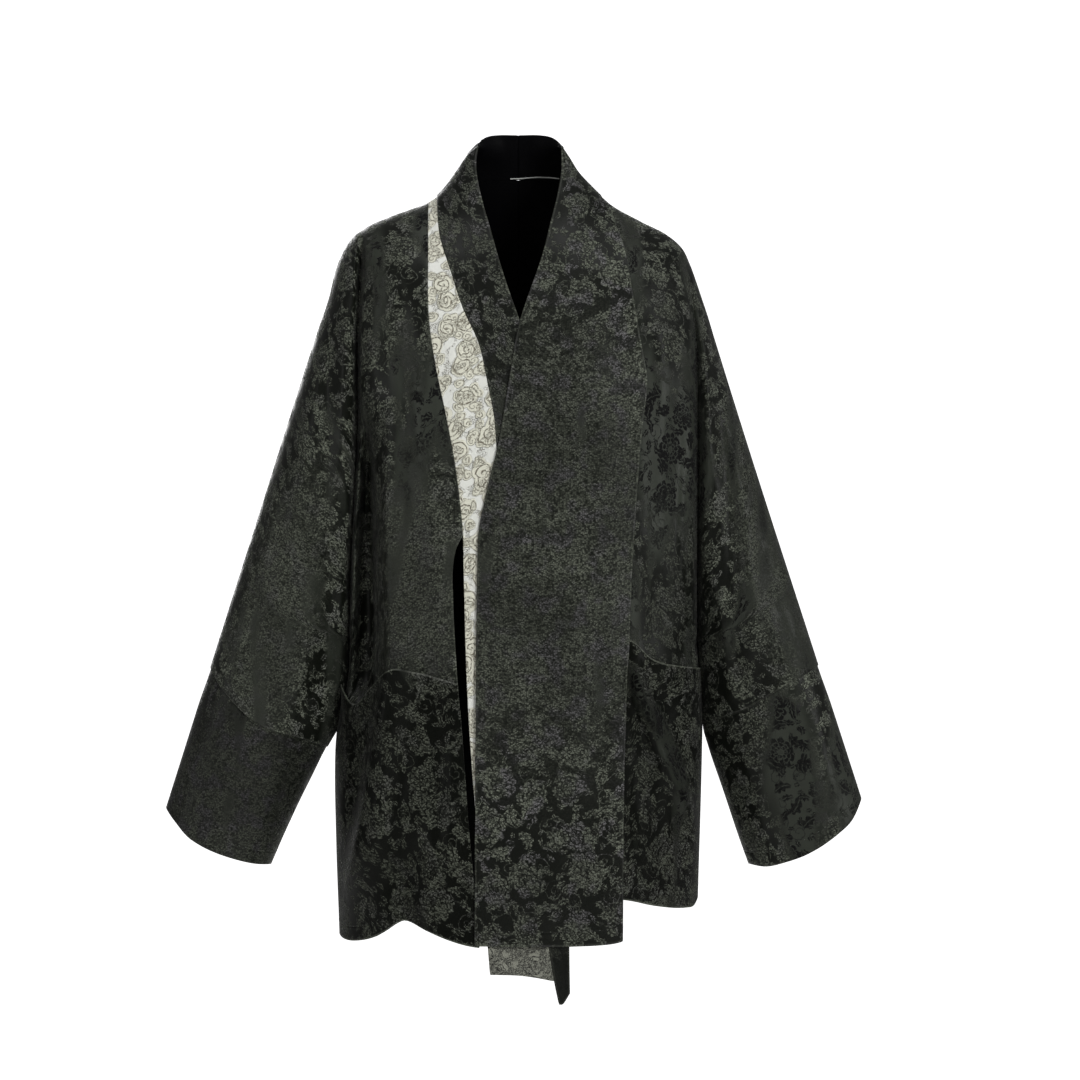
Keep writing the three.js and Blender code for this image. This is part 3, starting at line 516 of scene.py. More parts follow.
def seamNormal(part, x, z):  # a flat seam faces straight out of the outline
    half = "right" if x.mean() < 0 else "left"
    side = -1 if half == "right" else 1
    distance, course = nearestRidge(half, x, z)
    slope = edgeAt(part, half, z - 1) - edgeAt(part, half, z - 2)
    outward = -side if part == "sleeve" else side
    atSide = np.stack([np.full_like(slope, outward), 0 * slope, -outward * slope], axis=-1)
    atRidge = np.stack([-side * course[..., 1], 0 * slope, side * course[..., 0]], axis=-1)
    normal = np.where((distance < nearEnough["outline"])[..., None], atRidge, atSide)
    normal[np.abs(z - underarmZ) < nearEnough["underarm"]] = (0, 0, -1)  # both sides meet there
    return unit(normal)


# Grids of places, and the cloth made from them: how many rows and columns of cells each stretch has.
rows = {
    "upper": 104, "middle": 32, "mouth": 18, "pocket": 78, "sleeve": 34, "cuff": 40, "hanging": 150,
    "tip": 8, "sewn": 56, "loose": 200,
}
columns = {"trunk": 54, "back": 66, "collar": 36, "inset": 20, "neck": 30, "sleeve": 44}
underarmRow = rows["upper"] + rows["middle"]
mouthRow = underarmRow + rows["mouth"]
crowding = 1.7  # rows lie closer together towards the shoulder and the neck

# Heights where the rows change their spacing. The first are level with the place where the inset parts
# from the right front: at the sides, at the trunk's inner edges, and at the two edges of the collar.
parting = {"side": -372, "front": -363, "collarSeam": -355, "collarEdge": -340}
innerRows = {"underarm": -470, "mouth": -520}  # and at the trunk's inner edges below it
collarEdgeAtInsetHem = -830
# How far the left side front and its pocket reach under the left band, from where its seam ends.
tuck = {"reach": 14.0, "seam": -140, "edge": -128, "fall": 60}
seamClear = 0.05  # half the gap that is left between sewn pieces
lap = 0.15  # the share of a rim by which sewn edges lap, so that no light comes through
farAway = 100.0  # what counts as nowhere near a seam or a hem


def levels(start, end, count, crowd=1.0):  # heights of the rows of a stretch
    return mix(start, end, np.linspace(0, 1, count + 1) ** crowd)


def joined(*lists):  # each list starts with the place that the one before it ends with
    return np.concatenate([lists[0]] + [each[1:] for each in lists[1:]])


def onLine(line, heights):
    return np.stack([read(line, "z", "x", heights), heights], axis=-1)


def onRow(line, start, end, shares):
    x = mix(start, end, shares)
    return np.stack([x, read(line, "x", "z", x)], axis=-1)


def quarter(count):  # shares that lie closer together at the start
    return 1 - np.cos(np.linspace(0, 1, count + 1) * math.pi / 2)


def wave(count):  # shares that lie closer together at both ends
    return (1 - np.cos(np.linspace(0, 1, count + 1) * math.pi)) / 2


def rimmed(count):  # even shares, with two more beside each end for a crisp rim
    even = np.linspace(0, 1, count + 1)
    near = even[1] * np.array([0.3, 0.65])
    return np.sort(np.concatenate([even, near, 1 - near]))


def patch(top, bottom, left, right, us):  # a grid of places between four edges that meet
    v = ((left[:, 1] - left[0, 1]) / (left[-1, 1] - left[0, 1]))[:, None, None]
    u = us[None, :, None]
    corners = mix(mix(top[0], top[-1], u), mix(bottom[0], bottom[-1], u), v)
    return mix(top[None], bottom[None], v) + mix(left[:, None], right[:, None], u) - corners


def facing(grid, edge):  # the same array, turned so that the edge is its first row
    turned = grid.swapaxes(0, 1) if edge in ("left", "right") else grid
    return turned[::-1] if edge in ("bottom", "right") else turned


def arcs(lines):  # lengths along the columns of a grid of points, from its first row
    steps = np.linalg.norm(np.diff(lines, axis=0), axis=-1)
    return np.concatenate([np.zeros((1,) + steps.shape[1:]), np.cumsum(steps, axis=0)])


class Patch:  # one grid of places, put on the form

    endColumns = 6  # an edge that is open only in part runs in over so many columns
    drawn = {"reach": 8, "most": 0.6, "steepest": 0.25}  # how an edge is drawn back to make room for a rim

    def __init__(
        self, face, part, grid, rim, edges, flat=None, crossing=(), side=None, hemmed=(), hidden=(),
        stand=None,
    ):
        # edges: open edges by name, with the first and the last place between which they are open,
        # or None for all of it. A flat edge, or a stretch of it, lies on the upper outline. The
        # piece goes on past a crossing edge. side is the edge that is a side seam below the underarm.
        # A hidden edge is neither puckered nor made paler, a paling that is partly wear and partly a
        # painted edge highlight. stand is how far in front of the form it hangs.
        x, z = grid[..., 0], grid[..., 1]
        sign = -1 if face == "front" else 1
        flats = [(edge, *(ends or (0, None)), sign * seamClear) for edge, ends in (flat or {}).items()]
        flats += [(edge, 0, None, 0) for edge in crossing]
        plane = seamPlane(x, z)
        y = plane + sign * (depthAt(face, part, x, z) + seamClear + (0 if stand is None else stand(x, z)))
        for edge, first, last, gap in flats:
            facing(y, edge)[0, first:last] = facing(plane, edge)[0, first:last] + gap
        self.face = face
        self.points = np.stack([x, y, z], axis=-1)
        steps = [np.gradient(self.points, axis=axis) for axis in (0, 1)]
        self.normals = -sign * unit(np.cross(*steps))
        seams = [(edge, first, last) for edge, first, last, _ in flats]
        if side:
            seams.append((side, edges[side][0], None))
        for edge, first, last in seams:
            places = facing(grid, edge)[0, first:last]
            facing(self.normals, edge)[0, first:last] = seamNormal(part, places[:, 0], places[:, 1])
        self.seam = np.full(x.shape, farAway)
        self.hem = np.full(x.shape, farAway)
        for edge, ends in edges.items():
            kept = self.hem if edge in hemmed else self.seam
            self.drawBack(edge, ends, rim * (1 - lap), np.zeros(x.shape) if edge in hidden else kept)
        self.lay("left", self.points[:, 0, 0])

    def drawBack(self, edge, ends, rim, kept):  # makes room for the round rim
        lines = facing(self.points, edge)
        away = arcs(lines)
        index = np.arange(away.shape[1])
        comesIn, goesOut = ends or (None, None)
        share = np.ones(len(index))
        if comesIn is not None:
            share = share * smooth((index - comesIn) / self.endColumns)
        if goesOut is not None:
            share = share * smooth((goesOut - index) / self.endColumns)
        reach = np.maximum(1e-3, np.minimum(rim * self.drawn["reach"], self.drawn["most"] * away[-1]))
        amount = np.minimum(rim, self.drawn["steepest"] * reach) * share * (1 - clamp(away / reach)) ** 2
        lines += unit(lines[2] - lines[0])[None] * amount[..., None]
        near = facing(kept, edge)
        near[...] = np.minimum(near, np.where(share > 0.5, away, farAway))

    def lay(self, side, start):  # where each place lies on the flat cloth, from one side and down
        across = arcs(facing(self.points, side)) * (1 if side == "left" else -1)
        self.u = (across if side == "left" else across[::-1]).T + start[:, None]
        self.v = arcs(self.points) - self.points[:1, :, 2]


class Cloth:  # patches joined where they share places, with a wall and a round rim

    rimSteps = 4
    weld = 500  # places are one where they agree to a fraction of a millimetre

    def __init__(self, name, wall, patches, lift=None):
        self.patches = patches
        points = np.concatenate([each.points.reshape(-1, 3) for each in patches])
        normals = np.concatenate([each.normals.reshape(-1, 3) for each in patches])
        keys = np.round(points * self.weld).astype(np.int64)
        _, first, ids = np.unique(keys, axis=0, return_index=True, return_inverse=True)
        ids = ids.ravel()
        summed = np.zeros((len(first), 3))
        np.add.at(summed, ids, normals)
        base, normal = points[first], unit(summed)
        stands = np.zeros(len(base)) if lift is None else lift(base)
        outer = base + normal * stands[:, None]
        self.outer, self.normal, self.ids = outer, normal, ids
        near = []
        for away in ([each.seam for each in patches], [each.hem for each in patches]):
            near.append(np.full(len(base), farAway))
            np.minimum.at(near[-1], ids, np.concatenate([each.ravel() for each in away]))
        self.build(name, wall, near, *self.quads())

    def line(self, index, edge, away, proud):  # a line at a distance from an edge of a patch, out or in
        start = sum(each.u.size for each in self.patches[:index])
        shape = self.patches[index].u.shape
        ids = self.ids[start:start + shape[0] * shape[1]].reshape(shape)
        places, normals = facing(self.outer[ids], edge), facing(self.normal[ids], edge)
        lengths = arcs(places)
        column = np.arange(lengths.shape[1])
        row = (lengths < away).sum(axis=0)
        share = (away - lengths[row - 1, column]) / (lengths[row, column] - lengths[row - 1, column])
        place = mix(places[row - 1, column], places[row, column], share[:, None])
        return place + unit(normals[row, column]) * proud

    def quads(self):  # the faces by their welded places, and by their corners on the flat cloth
        corners = []
        start = 0
        for each in self.patches:
            count = each.u.shape
            index = np.arange(start, start + count[0] * count[1]).reshape(count)
            start += index.size
            square = np.stack([index[:-1, :-1], index[1:, :-1], index[1:, 1:], index[:-1, 1:]], axis=-1)
            square = square.reshape(-1, 4)
            corners.append(square if each.face == "front" else square[:, ::-1])
        corners = np.concatenate(corners)
        return self.ids[corners], corners

    def build(self, name, wall, near, faces, corners):  # the outer face, the lining and the rim
        outer, normal, count = self.outer, self.normal, len(self.outer)
        inner = outer - normal * wall
        edges = np.concatenate([faces[:, [i, (i + 1) % 4]] for i in range(4)])
        cornerEdges = np.concatenate([corners[:, [i, (i + 1) % 4]] for i in range(4)])
        real = edges[:, 0] != edges[:, 1]
        edges, cornerEdges = edges[real], cornerEdges[real]
        code = edges[:, 0] * count + edges[:, 1]
        isOpen = ~np.isin(code, edges[:, 1] * count + edges[:, 0])
        rimEdges, rimCorners = edges[isOpen], cornerEdges[isOpen]
        course = unit(outer[rimEdges[:, 1]] - outer[rimEdges[:, 0]])
        outwards = np.zeros((count, 3))
        for end in (0, 1):
            np.add.at(outwards, rimEdges[:, end], np.cross(course, normal[rimEdges[:, end]]))
        rimPlaces = np.unique(rimEdges)
        outwards = unit(outwards)[rimPlaces]
        place = np.zeros(count, dtype=int)
        place[rimPlaces] = np.arange(len(rimPlaces))
        rings = []
        for step in range(1, self.rimSteps):
            angle = math.pi * step / self.rimSteps
            middle = outer[rimPlaces] - normal[rimPlaces] * wall * (1 - math.cos(angle)) / 2
            rings.append(middle + outwards * wall / 2 * math.sin(angle))
        vertices = np.concatenate([outer, inner, *rings]) * mm
        ringStart = [2 * count + i * len(rimPlaces) for i in range(len(rings))]
        polygons = [faces, faces[:, ::-1] + count]
        loops = [corners, corners[:, ::-1]]
        a, b = rimEdges[:, 0], rimEdges[:, 1]
        between = [(place[a] + first, place[b] + first) for first in ringStart]
        around = [(a, b), *between, (a + count, b + count)]
        for (a0, b0), (a1, b1) in zip(around, around[1:]):
            polygons.append(np.stack([b0, a0, a1, b1], axis=-1))
            loops.append(rimCorners[:, [1, 0, 0, 1]])
        isInner = np.zeros(sum(len(each) for each in polygons), dtype=np.int32)
        isInner[len(faces):2 * len(faces)] = 1
        isInner[len(isInner) - self.rimSteps // 2 * len(a):] = 1
        self.object = self.mesh(name, vertices, polygons, loops, isInner)
        for attribute, kept in zip(("fromSeam", "fromHem"), near):
            values = np.concatenate([kept, kept, np.tile(kept[rimPlaces], len(rings))]) * mm
            layer = self.object.data.attributes.new(attribute, "FLOAT", "POINT")
            layer.data.foreach_set("value", values.astype(np.float32))

    def mesh(self, name, vertices, polygons, loops, isInner):
        uv = np.stack([
            np.concatenate([each.u.ravel() for each in self.patches]),
            np.concatenate([-each.v.ravel() for each in self.patches]),
        ], axis=-1) * mm
        polygons, loops = np.concatenate(polygons), np.concatenate(loops)
        ordered, loopUv = [], []
        for polygon, loop in zip(polygons.tolist(), loops.tolist()):
            kept = [i for i in range(4) if polygon[i] != polygon[i - 1]]
            ordered.append([polygon[i] for i in kept])
            loopUv.extend(loop[i] for i in kept)
        data = bpy.data.meshes.new(name)
        data.from_pydata(vertices.tolist(), [], ordered)
        layer = data.uv_layers.new(name="cloth")
        layer.data.foreach_set("uv", uv[loopUv].astype(np.float32).ravel())
        data.polygons.foreach_set("material_index", isInner)
        data.polygons.foreach_set("use_smooth", np.ones(len(polygons), dtype=bool))
        data.update()
        return placed(name, data)


print("form ready")

# The sewn pieces.
panelWall = 1.6
collarWall = 2.6
sides = {"right": ("left", "right"), "left": ("right", "left")}  # the outer edge and the inner one
mouthSide = {"right": mouths["right"]["z"][0], "left": mouths["left"]["z"][-1]}
hemSide = {"right": hems["right"]["z"][0], "left": hems["left"]["z"][-1]}
sleeveEnd = {
    "right": (cuffSeam["right"][-1, 1], cuffHem["right"][-1, 1]),
    "left": (cuffSeam["left"][0, 1], cuffHem["left"][0, 1]),
}


def ordered(places):  # from the wearer's right to the left
    return places if places[0, 0] < places[-1, 0] else places[::-1]


def fractions(places):  # how far down each place is, as a share
    return (places[:, 1] - places[0, 1]) / (places[-1, 1] - places[0, 1])


def heightsDown(top, level, underarm, mouth, hem):
    return joined(
        levels(top, level, rows["upper"], crowding), levels(level, underarm, rows["middle"]),
        levels(underarm, mouth, rows["mouth"]), levels(mouth, hem, rows["pocket"]),
    )


def sideCourse(half):
    top = ridge[half][stops["crease"], 1]
    z = heightsDown(top, parting["side"], underarmZ, mouthSide[half], hemSide[half])
    return np.stack([edgeAt("trunk", half, z), z], axis=-1)


def leftThenRight(half, outer, inner):  # a grid's edges, from its outer and inner ones
    return (outer, inner) if half == "right" else (inner, outer)


def sleeve(face, half, trunk):  # goes on from its trunk at the fold
    us = wave(columns["sleeve"])
    outerName, innerName = sides[half]
    fold = sideCourse(half)[:underarmRow + 1]
    below = onLine(sleeveSeam[half], levels(underarmZ, sleeveEnd[half][0], rows["sleeve"]))
    inner = joined(fold, below)
    outer = ridgeRun(half, "crease", "cuffSeam", fractions(inner))
    grid = patch(
        np.repeat(fold[:1], len(us), axis=0), along(ordered(cuffSeam[half]), us),
        *leftThenRight(half, outer, inner), us,
    )
    edges = {outerName: (0, None), innerName: (underarmRow, None), "bottom": None}
    result = Patch(
        face, "sleeve", grid, panelWall / 2, edges, flat={"top": None, outerName: None}, side=innerName)
    atFold = trunk.u[:underarmRow + 1, 0 if half == "right" else -1]
    result.lay(innerName, np.concatenate([atFold, atFold[-1] + below[1:, 0] - below[0, 0]]))
    return result


def trunkPatch(face, half, grid, flatTop):  # open from the underarm down, and all down the middle
    outerName, innerName = sides[half]
    middle = -1 if half == "right" else 0
    edges = {
        "top": (0, None) if half == "right" else (None, grid.shape[1] - 1),
        outerName: (underarmRow, None), innerName: None, "bottom": None,
    }
    trunk = Patch(
        face, "trunk", grid, panelWall / 2, edges, flat={"top": flatTop}, side=outerName,
        hemmed=("bottom",))
    trunk.lay(innerName, trunk.points[:, middle, 0])
    return trunk


def frontTrunk(half, top, left, right, us):
    mouth = onRow(mouths[half], left[mouthRow, 0], right[mouthRow, 0], us)
    bottom = onRow(hems[half], left[-1, 0], right[-1, 0], us)
    upper = patch(top, mouth, left[:mouthRow + 1], right[:mouthRow + 1], us)
    lower = patch(mouth, bottom, left[mouthRow:], right[mouthRow:], us)
    return trunkPatch("front", half, joined(upper, lower), None), lower


def rightFront():
    us = quarter(columns["trunk"])
    top = ridgeRun("right", "crease", "inset", us)
    z = heightsDown(
        top[-1, 1], parting["front"], innerRows["underarm"], mouths["right"]["z"][-1],
        hems["right"]["z"][-1])
    above, below = z[:rows["upper"] + 1], z[rows["upper"]:]
    right = joined(onLine(down["inset"], above), onLine(down["rightEdge"], below))
    return frontTrunk("right", top, sideCourse("right"), right, us)


def sewnHeights():
    return levels(ridge["left"][stops["neck"], 1], tuck["seam"], rows["sewn"], crowding)


def leftFront():
    us = 1 - quarter(columns["trunk"])[::-1]
    mouthZ = mouths["left"]["z"][0]
    z = joined(
        sewnHeights(), levels(tuck["seam"], mouthZ, mouthRow - rows["sewn"]),
        levels(mouthZ, hems["left"]["z"][0], rows["pocket"]))
    tucked = onLine(down["bandSeam"], z)
    tucked[:, 0] -= tuck["reach"] * smooth((tuck["seam"] - z) / tuck["fall"])
    return frontTrunk("left", ridgeRun("left", "neck", "crease", us), tucked, sideCourse("left"), us)


def backTrunk(half):
    isRight = half == "right"
    shares = quarter(columns["back"] // 2)
    if isRight:
        shoulder = ridgeRun(half, "crease", "neck", shares)
    else:
        shoulder = ridgeRun(half, "neck", "crease", 1 - shares[::-1])
    neck = along(neckSeam[half], np.linspace(0, 1, columns["neck"] + 1))
    top = joined(shoulder, neck) if isRight else joined(neck, shoulder)
    us = (top[:, 0] - top[0, 0]) / (top[-1, 0] - top[0, 0])
    side = sideCourse(half)
    z = heightsDown(
        neckSeamZ, parting["front"], innerRows["underarm"], innerRows["mouth"],
        read(hems["back"], "x", "z", 0))
    centre = np.stack([0 * z, z], axis=-1)
    bottom = onRow(hems["back"], *leftThenRight(half, side[-1, 0], 0), us)
    grid = patch(top, bottom, *leftThenRight(half, side, centre), us)
    return trunkPatch("back", half, grid, (0, len(shoulder)) if isRight else (columns["neck"], None))


def backCollar(half):
    shares = np.linspace(0, 1, columns["neck"] + 1)
    side = ridgeRun(half, "collarTop", "neck", rimmed(columns["collar"]))
    z = mix(collarTopZ, neckSeamZ, rimmed(columns["collar"]))
    centre = np.stack([0 * z, z], axis=-1)
    grid = patch(
        along(collarTop[half], shares), along(neckSeam[half], shares),
        *leftThenRight(half, side, centre), shares)
    outerName, innerName = sides[half]
    edges = {"top": None, "bottom": None, innerName: None}
    return Patch("back", "trunk", grid, collarWall / 2, edges, crossing=(outerName,))


def frontHeights(top, level, insetEnd):  # sewn above a level and hanging loose below it
    return joined(levels(top, level, rows["upper"], crowding), levels(level, insetEnd, rows["hanging"]))


def rightCollar():
    us = rimmed(columns["collar"])
    seamZ = frontHeights(ridge["right"][stops["neck"], 1], parting["collarSeam"], hems["inset"]["z"][-1])
    edgeZ = frontHeights(ridge["right"][0, 1], parting["collarEdge"], collarEdgeAtInsetHem)
    tip = hems["collar"]["z"]
    left = onLine(down["collarSeam"], joined(seamZ, levels(seamZ[-1], tip[0], rows["tip"])))
    right = onLine(down["collarEdge"], joined(edgeZ, levels(edgeZ[-1], tip[-1], rows["tip"])))
    bottom = onRow(hems["collar"], left[-1, 0], right[-1, 0], us)
    top = ridgeRun("right", "collarTop", "neck", us)[::-1]
    grid = patch(top, bottom, left, right, us)
    edges = {"left": None, "right": None, "bottom": None}
    return Patch("front", "trunk", grid, collarWall / 2, edges, crossing=("top",))


def paleInset():
    us = rimmed(columns["inset"])
    shoulder = ridgeRun("right", "inset", "neck", us)
    leftZ = frontHeights(shoulder[0, 1], parting["front"], hems["inset"]["z"][0])
    left = joined(
        onLine(down["inset"], leftZ[:rows["upper"] + 1]), onLine(down["insetEdge"], leftZ[rows["upper"]:]))
    right = onLine(
        down["collarSeam"], frontHeights(shoulder[-1, 1], parting["collarSeam"], hems["inset"]["z"][-1]))
    bottom = onRow(hems["inset"], left[-1, 0], right[-1, 0], us)
    edges = {"left": None, "right": None, "top": None, "bottom": None}
    return Patch(
        "front", "trunk", patch(shoulder, bottom, left, right, us), panelWall / 2, edges,
        flat={"top": None}, hemmed=("bottom",))


def leftBand():
    us = rimmed(columns["collar"])
    hem = hems["band"]
    right = onLine(down["bandSeam"], joined(
        sewnHeights(), levels(tuck["seam"], hem["z"][-1], rows["loose"])))
    left = onLine(down["bandEdge"], joined(
        levels(ridge["left"][0, 1], tuck["edge"], rows["sewn"], crowding),
        levels(tuck["edge"], hem["z"][0], rows["loose"])))
    bottom = onRow(hem, left[-1, 0], right[-1, 0], us)
    top = ridgeRun("left", "collarTop", "neck", us)
    edges = {"left": None, "right": None, "bottom": None}
    return Patch(
        "front", "trunk", patch(top, bottom, left, right, us), collarWall / 2, edges,
        crossing=("top",), hemmed=("bottom",))


def cuff(face, half):
    us = wave(columns["sleeve"])
    outerName, innerName = sides[half]
    inner = onLine(sleeveSeam[half], levels(*sleeveEnd[half], rows["cuff"]))
    outer = ridgeRun(half, "cuffSeam", "cuffHem", fractions(inner))
    grid = patch(
        along(ordered(cuffSeam[half]), us), along(ordered(cuffHem[half]), us),
        *leftThenRight(half, outer, inner), us)
    result = Patch(
        face, "sleeve", grid, panelWall / 2, {"top": None, "bottom": None},
        crossing=(outerName, innerName), hemmed=("bottom",))
    result.lay(outerName, result.points[:, 0 if half == "right" else -1, 0])
    return result


# How far each piece lies off the form.
collarLift = 1.0
cuffStep = {"deep": 1.2, "run": 45.0}
pocketClear = 1.9  # from the outer side of a panel to the outer side of its pocket
pocketCalm = {"hem": 25.0, "sides": 14.0}  # over these distances a pocket comes back to its panel
bandLift = {
    "spread": 30.0,  # how far from its seam the edge's lift gives way to the middle's
    "middle": table("z lift", [[90, 1.0], [-30, 1.0], [-125, 4.2], [-420, 4.2], [-480, 5.2], [-870, 5.2]]),
    "edge": table("z lift", [[-120, 1.0], [-146, 2.9], [-455, 2.9], [-500, 5.0], [-870, 5.0]]),
}


def liftOfCuff(places):  # the sleeve's end laps over the cuff, which comes out from under it
    half = "right" if places[:, 0].mean() < 0 else "left"
    seam = table("x z", ordered(cuffSeam[half]))
    below = read(seam, "x", "z", places[:, 0]) - places[:, 2]
    return -cuffStep["deep"] * (1 - smooth(below / cuffStep["run"]))


def liftOfCollar(places):
    return np.full(len(places), collarLift)


def liftOfBand(places):  # it lies over the collar and the inset
    z = places[:, 2]
    toSeam = read(down["bandSeam"], "z", "x", z) - places[:, 0]
    atEdge, atMiddle = (read(bandLift[name], "z", "lift", z) for name in ("edge", "middle"))
    return mix(atEdge, atMiddle, smooth(toSeam / bandLift["spread"]))


def pocketStand(half):  # how far a pocket hangs in front of its panel
    lines = (sideSeam[half], down["rightEdge"] if half == "right" else down["bandSeam"])

    def stand(x, z):
        gape = np.zeros(np.shape(x))
        for x0, z0, wide, tall, height in zip(*gapes.values()):
            gape += height * np.exp(-(((x - x0) / wide) ** 2)) * smooth((z - z0 + tall) / tall)
        calm = smooth((z - read(hems[half], "x", "z", x)) / pocketCalm["hem"])
        for line in lines:
            calm = calm * smooth(np.abs(x - read(line, "z", "x", z)) / pocketCalm["sides"])
        return gape + calm * np.maximum(0, foldHeight(pocketFolds, x, z))

    return stand


def liftOfPocket(places):  # clear of its panel, and curled out at its outer corner
    away = (places[:, 0] - curled["x"]) / curled["wide"]
    upper = smooth((places[:, 2] - curled["z"] + curled["tall"]) / curled["tall"])
    return pocketClear + curled["height"] * np.exp(-away ** 2) * upper


def pocket(half, lower):
    outerName, innerName = sides[half]
    edges = {"top": None, "bottom": None, outerName: None, innerName: None}
    result = Patch(
        "front", "trunk", lower, panelWall / 2, edges, hemmed=("bottom",), hidden=("left", "right"),
        stand=pocketStand(half))
    places = facing(lower, outerName)[0]
    facing(result.normals, outerName)[0] = seamNormal("trunk", places[:, 0], places[:, 1])
    return result


fronts = {"right": rightFront(), "left": leftFront()}
backs = {half: backTrunk(half) for half in ("right", "left")}
print("grids ready")


def panel(face, half, trunk):  # cut in one with its half of the sleeve
    return [trunk, sleeve(face, half, trunk)]


# For each node: its name here, its wall, its patches, and how far it lies off the form.
sewn = {
    "front_right": ("front_right_silk", panelWall, panel("front", "right", fronts["right"][0]), None),
    "front_left_side": ("front_left_silk", panelWall, panel("front", "left", fronts["left"][0]), None),
    "back_right": ("back_right_silk", panelWall, panel("back", "right", backs["right"]), None),
    "back_left": ("back_left_silk", panelWall, panel("back", "left", backs["left"]), None),
    "cuff_right": (
        "cuff_right_silk", panelWall, [cuff("front", "right"), cuff("back", "right")], liftOfCuff),
    "cuff_left": (
        "cuff_left_silk", panelWall, [cuff("front", "left"), cuff("back", "left")], liftOfCuff),
    "inset_pale": ("inset_silk", panelWall, [paleInset()], None),
    "collar_right": ("collar_silk", collarWall, [rightCollar(), backCollar("right")], liftOfCollar),
    "band_left": ("band_silk", collarWall, [leftBand(), backCollar("left")], liftOfBand),
    "pocket_right": (
        "pocket_right_silk", panelWall, [pocket("right", fronts["right"][1])], liftOfPocket),
    "pocket_left": ("pocket_left_silk", panelWall, [pocket("left", fronts["left"][1])], liftOfPocket),
}
pieces = {node: Cloth(*what) for node, what in sewn.items()}
print("pieces:", sum(len(each.object.data.polygons) for each in pieces.values()), "faces")

# What the cloths are like.
damask = {
    "ground": "#0d0f0b",  # the warp satin, dark and smooth
    "groundLit": "#2f322c",  # and where it catches the light
    "figure": "#3f423a",  # the weft floats that draw the flowers, paler and duller
    "figureLit": "#080908",
    "shot": "#403f41",  # what the floats turn to in places
    "groundGloss": 0.38,
    "figureGloss": 0.66,
    "sheen": 0.03,
    "sheenSpread": 0.4,
    "flower": 50.0,  # how far apart the motifs of each kind lie
    "leaf": 31.0,
    "leaflet": 19.0,
    "scroll": 35.0,
    "bud": 12.5,
    "head": (17.5, 11, 0.26),  # a flower's reach, its petals, and how deep their gaps are
    "rings": ((12.6, 11, 0.22), (7.8, 7, 0.28), (3.4, 5, 0.2)),  # and its inner rings
    "sizes": (0.78, 0.4),  # the smallest flower's size, and how much the largest has more
    "flowerShare": 0.88,  # how many of the places have a flower, and how many a leaf
    "leafShare": 0.82,
    "scrollLevel": 0.55,
    "drifts": ((36, 10), (3.6, 2.6)),  # over what lengths the drawing wanders, and how far
    "grain": (2.0, 1.7),  # how long and how wide the floats of the figure are
    "floats": (0.05, 2.5),  # how dull and how bright single floats are
    "crown": (0.25, 0.7, 1.25, 0.3),  # between two distances from its middle a float fades, from and to
    "lumps": {  # the sizes of the noises
        "worn": (120,) * 3, "paintedSheen": (44, 150, 1), "turning": (24,) * 3, "threads": (0.35, 2.4, 1),
    },
    "worn": (0.3, 0.7, 0.75, 1.25),  # between two values of a noise the figure gains, from and to
    "turning": (0.5, 0.66),  # and between these its colour turns
    "paintedSheenHides": 0.75,  # how much of the single floats is lost where a sheen is painted on
    "plainFloat": 1.15,  # and how bright they all are then
    "edge": (0.5, 1.5),  # how far from a seam or a hem it is paler: wear and a painted edge highlight
    "relief": 0.16,
    "figureRelief": 0.6,  # a share of the relief
    "threadRelief": 0.03,
    "sunk": 0.48,  # how bright the cloth is where the figure sinks into it
}
jacquard = {
    "ground": "#d0d1cb",
    "raised": "#cac9ba",
    "line": "#757061",  # the outlines of the medallions, a dull gold
    "low": "#76776d",
    "lowLine": "#161612",  # the hem end's ground and lines, darkened as painted shade
    "medallion": 27.0,
    "turn": 5.2,  # how far apart the turns of its spirals lie
    "drift": (14, 7),  # over what length the drawing wanders, and how far
    "patches": (0.52, 0.6),  # between two values of a noise fine broken lines set in
    "cracks": (2.6, 1.9, 1),  # the size of the cells between them
    "crackWidth": (0.16, 0.26),  # and their width, with how much more it is at the hem end
    "broken": (0.36, 0.58, 0.25, 1.0),  # between two values of a noise the lines gain, from and to
    "hemEnd": (-0.86, -0.80),  # where it is darkened as painted shade, in metres down the cloth
    "gloss": (0.38, 0.55),  # between the medallions, and on them
    "sheen": 0.1,
    "relief": 1.3,
    "lineRelief": -0.9,  # a share of the relief
}
# The plain silks: the sizes of two noises, and how much they make it paler, duller and uneven.
satin = {"threads": (0.4, 3.0, 1), "slow": (60,) * 3, "paler": 1.9, "duller": 0.12, "relief": 0.05}
puckers = {"reach": 13.0, "long": 10.0, "height": 0.55}
hemFold = {"up": 15.0, "groove": 0.35}


def linear(code, toneAndPaintedShade=1.0):  # a hex colour as the shader's linear one, made so much brighter or darker
    values = [int(code[i:i + 2], 16) / 255 for i in (1, 3, 5)]
    values = [v / 12.92 if v <= 0.04045 else ((v + 0.055) / 1.055) ** 2.4 for v in values]
    return (*[v * toneAndPaintedShade for v in values], 1.0)


def add(tree, kind, *inputs, named=None, **settings):  # a node, given as its kind and operation
    kind, _, operation = kind.partition(" ")
    node = tree.nodes.new(kind if "Node" in kind else "ShaderNode" + kind)
    if operation:
        node.operation = operation
    for name, value in settings.items():
        setattr(node, name, value)
    usable = [each for each in node.inputs if each.enabled]
    byName = [(node.inputs[name], value) for name, value in (named or {}).items()]
    for socket, value in [*zip(usable, inputs), *byName]:
        if isinstance(value, bpy.types.NodeSocket):
            tree.links.new(value, socket)
        elif value is not None:
            socket.default_value = value
    return next((each for each in node.outputs if each.enabled), None)


def started(name):  # a material, its tree and its shader
    material = bpy.data.materials.new(name)
    material.use_nodes = True
    return material, material.node_tree, material.node_tree.nodes["Principled BSDF"]


